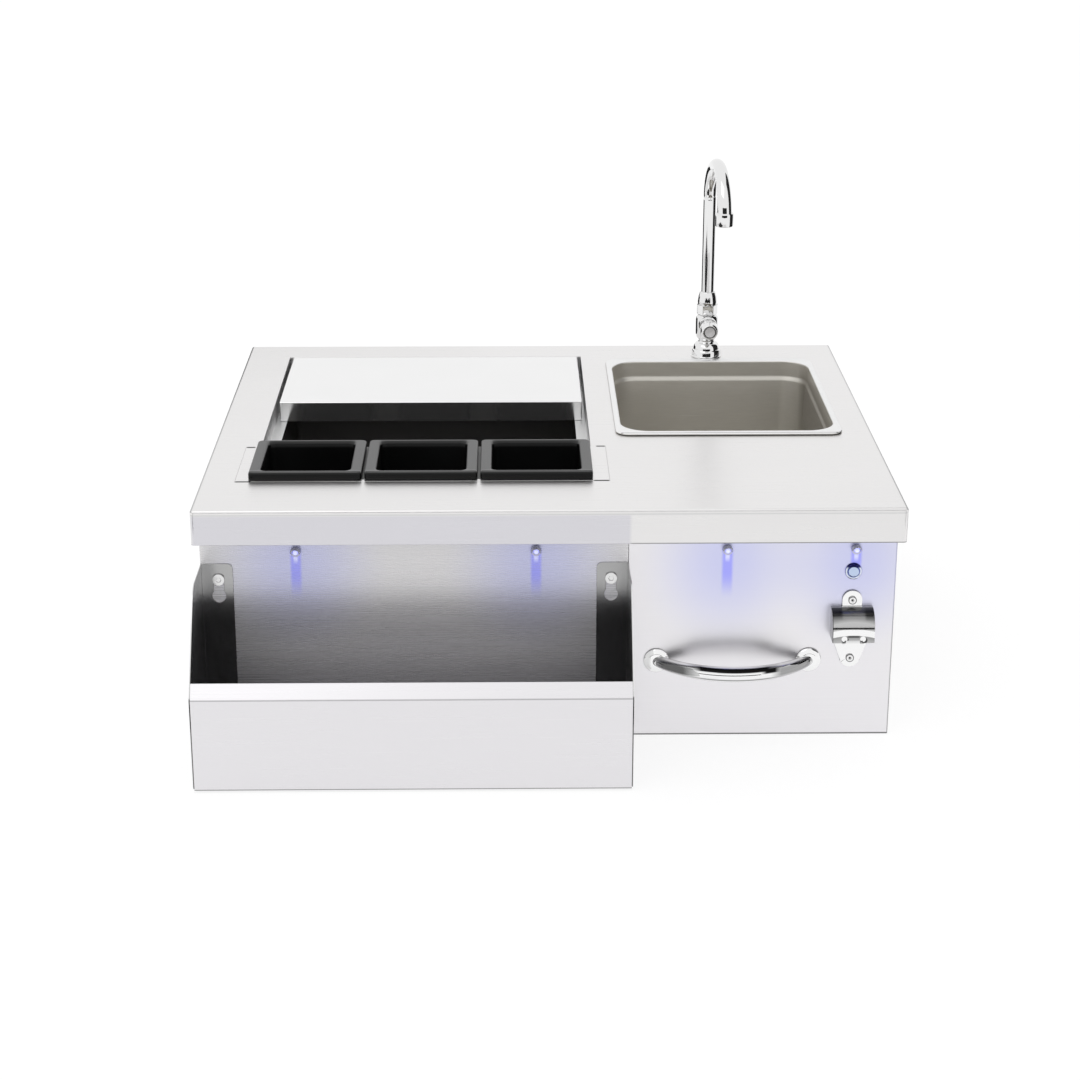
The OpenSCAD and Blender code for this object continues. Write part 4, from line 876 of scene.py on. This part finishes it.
def make_liner():
    """The bin's black liner: one moulded tub with round corners and a flat flange under the ledges."""
    front, back, drain_y = -175, 323, 263
    x, y = BIN_X, (front + back) / 2
    w, d, hole = 366.0, 498.0, 21.9
    floor, top, wall, flange = 67.8, 253.8, 2.5, 46.6

    def tub(grow, corner, z):
        return (w + grow, d + grow, corner, x, y, z)

    def drain(z):
        return (hole, hole, hole / 2 - 0.01, x, drain_y, z)

    rings = [drain(floor - wall), tub(2 * wall - 8, 8, floor - wall), tub(2 * wall, 10.5, floor - wall + 3),
             tub(2 * wall, 10.5, top - wall), tub(flange, 31, top - wall), tub(flange, 31, top),
             tub(1.2, 8.6, top), tub(0, 8, top - 0.8), tub(0, 8, floor + 4), tub(-2.4, 7, floor + 1.2),
             tub(-8, 5, floor), drain(floor)]
    settle(loft_frames(rings, corner=8, closed=True), "bin_liner", "liner_plastic", smooth=40)


# ---- Sink ----


def make_sink_bowl():
    """Pressed bowl: rolled rim, straight throat, soft shoulder, and walls that curve into the floor."""
    sheet, hole = 1.2, 52.4
    top, low, floor, drop = 282.8, 280.8, 132.8, 258.5
    rim_w, rim_d, rim_r = 265.0, 325.0, 16
    mouth_w, mouth_d, mouth_r = 250.0, 300.0, 33
    shoulder, shoulder_r = 3.0, 5.0
    step_w, step_d, step_r = mouth_w - 2 * shoulder, mouth_d - 2 * shoulder, 30.0
    slope_in, slope_down = 2.93, 2.07
    mouth_roll, rim_roll, drain_w = 2.4, 1.2, 90

    def frame_ring(w, d, grow, corner, z):
        return (w + grow, d + grow, corner, *SINK, z)

    def round_ring(size, z):
        return (size, size, size / 2 - 0.01, *SINK, z)

    inner = []
    for out, up in arc(top - mouth_roll, mouth_roll, 90, 0, 6):
        grow = 2 * (mouth_roll - out)
        inner.append(frame_ring(mouth_w, mouth_d, grow, mouth_r + mouth_roll - out, up))
    inner.append(frame_ring(mouth_w, mouth_d, 0, mouth_r, drop + 5.4))
    bow = arc(0, shoulder_r, 0, 45, 4)
    slope = [(shoulder_r - out, drop + shoulder_r - fall) for out, fall in bow[1:]]
    slope += [(slope_in - shoulder_r + out, drop - slope_down + fall) for out, fall in bow[-2::-1]]
    for travel, up in slope:
        inner.append(frame_ring(mouth_w, mouth_d, -2 * travel, mouth_r - travel, up))
    for shrink, up in ((2.304, 235), (4.224, 205), (6.912, 178), (9.6, 162), (12, floor + 22)):
        inner.append(frame_ring(step_w, step_d, -shrink, step_r, up))
    for shrink, up in ((15.2, 16.0), (19, 10.5), (24, 6), (30, 2.9), (37, 0.9), (44, 0)):
        inner.append(frame_ring(step_w, step_d, -shrink, step_r - shrink / 8, floor + up))
    inner += [round_ring(hole + 28, floor), round_ring(hole, floor)]

    outer = []
    for w, d, corner, x, y, z in inner[:0:-1]:
        flat = z <= floor + 3
        grow = 0 if w < drain_w else 2 * sheet * (0.4 if flat else 1)
        down = sheet if z < floor + 8 else sheet * 0.5 if z < drop - 0.5 else 0
        outer.append((w + grow, d + grow, corner + grow / 2, x, y, z - down))
    outer = [ring for ring in outer if ring[5] < low - 1.0]

    rim = [frame_ring(mouth_w, mouth_d, 2 * sheet + 0.4, mouth_r + 1, low),
           frame_ring(rim_w, rim_d, -1.0, rim_r - 0.4, low),
           frame_ring(rim_w, rim_d, 0, rim_r, low + 0.5)]
    for out, up in arc(top - rim_roll, rim_roll, 0, 90, 4):
        rim.append(frame_ring(rim_w, rim_d, 2 * (out - rim_roll), rim_r - rim_roll + out, up))
    rim.append(frame_ring(mouth_w, mouth_d, 8, mouth_r + 3, top - 0.25))
    bowl = loft_frames(outer + rim + inner, corner=12, closed=True)
    settle(bowl, "sink_bowl", "satin_bowl", smooth=50)


def make_drain_cup():
    """The cup that shows in the sink's floor, with its flange and its outlet."""
    outside = [(20.5, 79.8), (20.5, 95.8), (25.2, 95.8), (26, 96.6), (26, 132.8), (36.4, 132.8)]
    flange = [(37, 133.4), (36.2, 134.3), (27.4, 134.3), (25.2, 133.5), (24.2, 131.5)]
    inside = [(24, 99.0), (22.8, 97.8), (17.45, 97.8), (17.45, 79.8)]
    settle(turned(outside + flange + inside, (*SINK, 0), closed=True), "drain_cup", "chrome")


# ---- Faucet ----


def make_faucet_body():
    """Turned body with a bell-shaped foot and a neck, and the boss that the knob sits on."""
    x, y = FAUCET
    foot = [(10.45, 0), (19.0, 0), (19.5, 0.4), (19.5, 1.8), (18.7, 2.4), (18.5, 3.0), (18.5, 8.6)]
    foot += [(18.0, 9.8), (17.0, 10.6)]
    bell = [(11.2 + 5.6 * cos(radians(a)), 11.0 + 8.2 * sin(radians(a))) for a in range(8, 91, 9)]
    neck = [(10.6, 19.8), (10.3, 21.4), (10.6, 23.0), (12.0, 24.6), (13.4, 26.6), (14.3, 29.2), (14.5, 32)]
    head = [(14.5, 49), (14.1, 51.6), (13.2, 53.8), (11.6, 55.4), (10, 56), (10, 69.6), (9.6, 70), (8.25, 70)]
    bore = [(8.25, 58), (5, 58), (5, 16), (10.45, 16)]
    shell = turned(foot + bell + neck + head + bore, (x, y, TOP_Z), closed=True, sides=64)
    boss = [(11.5, 9), (11.5, 17.6), (11.1, 18.7), (10.2, 19), (8.05, 19), (8.05, 12), (5, 12), (5, 9)]
    boss = turned(boss, (x, y, KNOB_Z), "front", closed=True)
    settle(join_pieces([shell, boss]), "faucet_body", "chrome", smooth=40)


def make_gooseneck():
    """Bent spout that flares at its end, with a groove below the bend, and the aerator with its screen."""
    tube_r, bend_r, bend_z, wall, flare, groove = 8.2, 48.0, 209.8, 1.2, 1.4, 0.25
    bend_steps, flare_start = 28, 21
    end_z, tip_z = 199.8, 191.8
    turn = radians(6)
    way = Vector((sin(turn), -cos(turn), 0))
    base = Vector((*FAUCET, TOP_Z))
    centre = base + way * bend_r + UP * bend_z
    end = base + way * 2 * bend_r
    path = [(tube_r, base + UP * z, UP) for z in (58, 120, 180, 205, 208.6)]
    path += [(tube_r - groove, base + UP * z, UP) for z in (208.9, 209.5)]
    path.append((tube_r, base + UP * bend_z, UP))
    for i in range(1, bend_steps + 1):
        a = pi * i / bend_steps
        grow = max(0.0, (i - flare_start) / (bend_steps - flare_start)) ** 1.5 * 0.9
        here = centre - way * bend_r * cos(a) + UP * bend_r * sin(a)
        path.append((tube_r + grow, here, way * sin(a) + UP * cos(a)))
    path.append((tube_r + flare, end + UP * end_z, -UP))
    inside = [(radius - wall, here, facing) for radius, here, facing in reversed(path)]
    settle(loft_circles(path + inside, sides=40, closed=True), "spout", "chrome", smooth=40)

    tip = end + UP * tip_z
    outside = [(6.7, 1.5), (6.7, 0.6), (7.4, 0.0), (10.2, 0), (11.2, 0.8), (11.5, 2.0), (11.5, 14.6)]
    inside = [(11.2, 16.2), (10.4, 17), (8.22, 17), (8.22, 8), (6.7, 8)]
    shell = turned(outside + inside, tip, closed=True)
    screen = turned([(6.9, 1.4), (6.9, 2.6)], tip)
    settle(join_pieces([shell, screen]), "aerator", "chrome")


def make_knob_cap():
    """Grey cap in the knob's face, with a rolled edge."""
    x, y = FAUCET
    cap = turned([(7.6, 0), (7.6, 1.2), (7.2, 1.7), (6.4, 1.95), (6.0, 1.8)], (x, y - 47.5, KNOB_Z), "front")
    settle(cap, "faucet_knob_cap", "index_cap")


# ---- Front fittings ----


def make_hoods():
    """Small arched shades over the lamps, cut back below, each with its barrel through the panel."""
    out, behind, r, wall, bore, cut_below = 8.5, 14, 5.6, 1.1, 3.0, 3.2
    arch_profile = [(r - wall, 0.0), (r - wall, out), (r - wall * 0.5, out + 0.4), (r, out - 0.3), (r, 0.0)]
    barrel_profile = [(4, -behind), (4, 0.0), (r, 0.05), (r, 0.9), (bore, 0.9), (bore, -behind)]
    for i, x in enumerate(LIGHT_X, 1):
        place = (x, PANEL_Y, LIGHT_Z)
        arch = turned(arch_profile, place, "front", closed=True)
        only(arch)
        bpy.ops.object.transform_apply(location=True, rotation=True)
        open_mesh(arch)
        cut = (x * MM, PANEL_Y * MM, (LIGHT_Z - cut_below) * MM)
        bpy.ops.mesh.bisect(plane_co=cut, plane_no=(0, -0.6, -1), clear_outer=True, use_fill=True)
        close_mesh()
        barrel = turned(barrel_profile, place, "front", closed=True)
        settle(join_pieces([arch, barrel]), f"light_hood_{i}", "hood_chrome", smooth=40)


def make_lenses():
    """Four clear lenses with a round tip."""
    r, behind, rise = 2.95, 12, 2
    tip = [(r * cos(radians(a)), rise + r * sin(radians(a))) for a in range(0, 86, 12)]
    profile = [(r, -behind)] + tip + [(0.2, rise + r)]
    pieces = [turned(profile, (x, PANEL_Y, LIGHT_Z), "front", sides=32) for x in LIGHT_X]
    settle(join_pieces(pieces), "light_lenses", "light_lens", smooth=60)


def make_button():
    """Bevelled bezel ring with a domed cap in it."""
    barrel = [(8, -22), (8, 0)]
    ring = [(9.5, 0), (9.5, 0.9), (9.2, 1.5), (8.4, 2.4), (7.9, 2.55), (7.2, 2.3), (6.5, 1.5), (5.8, 1.3)]
    bore = [(5.8, -18), (7, -18), (7, -22)]
    bezel = turned(barrel + ring + bore, BUTTON, "front", closed=True, sides=64)
    settle(bezel, "button_bezel", "bezel_chrome")
    stem = [(6.8, -8), (6.8, -5.5), (5.75, -5.5), (5.75, 2.7)]
    face = [(5.55, 3.2), (5.1, 3.5), (3.5, 3.25), (1.2, 3.0)]
    settle(turned(stem + face, BUTTON, "front"), "button_cap", "button")


def make_handle():
    """Arched grab bar, thicker in the middle, on two turned feet."""
    x, _, z = HANDLE
    span, out, r, end_share, swell, steps = 168.0, 42.0, 6.5, 0.98, 0.34, 44
    arch_r = ((span / 2) ** 2 + out ** 2) / (2 * out)
    reach = asin(span / 2 / arch_r) * 0.985
    rings = []
    for i in range(steps + 1):
        along = -1 + 2 * i / steps
        a = along * reach
        here = (x + arch_r * sin(a), PANEL_Y - out + arch_r - arch_r * cos(a), z)
        rings.append((r * (end_share + swell * (1 - along * along)), here, (cos(a), sin(a), 0)))
    settle(loft_circles(rings, sides=32), "handle_bar", "handle_chrome", smooth=50)
    foot = [(2.55, 0), (14, 0), (14, 1.4), (13.6, 2.2), (12.4, 3.0), (10.6, 3.9), (9.4, 4.7), (8.6, 5)]
    foot.append((2.55, 5))
    places = [(x + side * span / 2, PANEL_Y, z) for side in (-1, 1)]
    feet = [turned(foot, place, "front", closed=True, sides=64) for place in places]
    settle(join_pieces(feet), "handle_rosettes", "foot_chrome")


# ---- Studio ----


def neutral(value):
    """A colour without a tint, from one light value."""
    return (value, value, value, 1)


def split_rays(tree, output, lighting, seen):
    """One shader lights the part. The other is what the camera sees, directly or by way of metal or glass."""
    path = tree.nodes.new("ShaderNodeLightPath").outputs
    straight = reckon(tree, "MAXIMUM", path["Is Camera Ray"], path["Is Glossy Ray"])
    share = reckon(tree, "MAXIMUM", straight, path["Is Transmission Ray"])
    mix = wire(tree, "MixShader", {0: share, 1: lighting.outputs[0], 2: seen.outputs[0]})
    wire(tree, output, {"Surface": mix.outputs[0]})


def make_floor():
    """Pale floor, which gives off some light where it is seen, so that it melts into the background."""
    bpy.ops.mesh.primitive_plane_add(size=30, location=(0, 3, 0))
    floor = bpy.context.object
    floor.name = "studio_floor"
    made = bpy.data.materials.new("pale_floor")
    made.use_nodes = True
    tree = made.node_tree
    tree.nodes.clear()
    matt = wire(tree, "BsdfDiffuse", {"Color": neutral(0.86)})
    soft = wire(tree, "BsdfDiffuse", {"Color": neutral(0.3)})
    own_light = wire(tree, "Emission", {"Color": WHITE, "Strength": 0.76})
    both = wire(tree, "AddShader", {0: soft.outputs[0], 1: own_light.outputs[0]})
    split_rays(tree, "OutputMaterial", matt, both)
    floor.data.materials.append(made)


def make_world():
    """Sky that lights the part, a little brighter overhead. What is seen of it is plain white."""
    world = bpy.data.worlds.new("studio_world")
    world.use_nodes = True
    bpy.context.scene.world = world
    tree = world.node_tree
    tree.nodes.clear()
    way = wire(tree, "SeparateXYZ", {0: tree.nodes.new("ShaderNodeTexCoord").outputs["Generated"]})
    overhead = between(tree, way.outputs[2], 0.0, 0.9, smooth=True)
    sky = blend_tones(tree, overhead, (0.80, 0.80, 0.81, 1), WHITE)
    light = wire(tree, "Background", {"Color": sky, "Strength": 0.92})
    plain = wire(tree, "Background", {"Color": WHITE, "Strength": 1.0})
    split_rays(tree, "OutputWorld", light, plain)


def make_lamp():
    """One large soft lamp in front, above and to the left."""
    aim = Vector((0, 0, 0.2))
    lamp = bpy.data.lights.new("soft_lamp", "AREA")
    lamp.shape = "RECTANGLE"
    lamp.size = 2.2
    lamp.size_y = 1.6
    lamp.energy = 6
    holder = bpy.data.objects.new("soft_lamp", lamp)
    bpy.context.scene.collection.objects.link(holder)
    holder.location = (-1.1, -1.4, 2.4)
    holder.rotation_euler = (aim - holder.location).to_track_quat("-Z", "Y").to_euler()


def make_cards():
    """Dark cards that only polished metal mirrors."""
    dark = bpy.data.materials.new("dark_card")
    dark.use_nodes = True
    shader = dark.node_tree.nodes["Principled BSDF"]
    shader.inputs["Base Color"].default_value = neutral(0.01)
    shader.inputs["Roughness"].default_value = 1.0
    for name, size, place, turn in (
        ("dark_card_right", (0.64, 1.3), (0.80, 0.30, 0.66), 90),
        ("dark_card_left", (0.68, 0.34), (-0.345, 0.947, 0.18), 42),
        ("dark_card_front", (6.0, 0.8), (0, -4.4, 0.42), 0),
    ):
        bpy.ops.mesh.primitive_plane_add(size=1, location=place, rotation=(radians(90), 0, radians(turn)))
        card = bpy.context.object
        card.name = name
        card.scale = (*size, 1)
        card.data.materials.append(dark)
        card.visible_camera = card.visible_diffuse = card.visible_shadow = card.visible_transmission = False


# ---- Building it ----

bpy.context.scene.view_settings.view_transform = "Standard"
bpy.ops.object.select_all(action="DESELECT")
set_camera()
for node, obj in NODES.items():
    obj.data.materials.clear()
    obj.data.materials.append(FINISH[SLOT_OF[node]])

for node, finish, edge in (
    ("countertop", "brushed_top", 0.4),
    ("tray_plate", "brushed_plate", 0.3),
    ("front_panel_left", "brushed_left", 0.35),
    ("front_panel_right", "brushed_right", 0.35),
    ("side_panel_left", "brushed_side", 0.3),
    ("side_panel_right", "brushed_side", 0.3),
    ("rear_panel", "brushed_rear", 0.3),
    ("bin_collar", "plain_steel", 0.3),
    ("lid_pan", "lid", 0.3),
    ("rail_trough", "brushed_trough", 0.3),
    ("rail_end_left", "rail_end", 0.3),
    ("rail_end_right", "rail_end", 0.3),
    ("bottle_opener", "opener", 0.6),
    ("faucet_knob", "chrome", 0.6),
    ("spout_nut", "chrome", 0.8),
):
    soften(node, finish, edge)
for node in (
    "faucet_bonnet", "drain_basket", "drain_lock_nut", "drain_slip_nut",
    "power_gland", "bin_drain_nut", "faucet_nut", "button_nut",
):
    soften(node, SLOT_OF[node], 0.35)
soften("opener_screws", "opener_screws", 0.3)
soften("rail_hangers", "screw_steel", 0.3)
soften("housing_screws", "screw_steel", 0.3)
spread_sideways("tray_plate", 0.5)
spread_sideways("lid_pan", 2.0)
darken_inner_faces("rail_end_left", 1)
darken_inner_faces("rail_end_right", -1)
make_trays()
make_liner()
make_sink_bowl()
make_drain_cup()
make_faucet_body()
make_gooseneck()
make_knob_cap()
make_hoods()
make_lenses()
make_button()
make_handle()
make_floor()
make_world()
make_lamp()
make_cards()
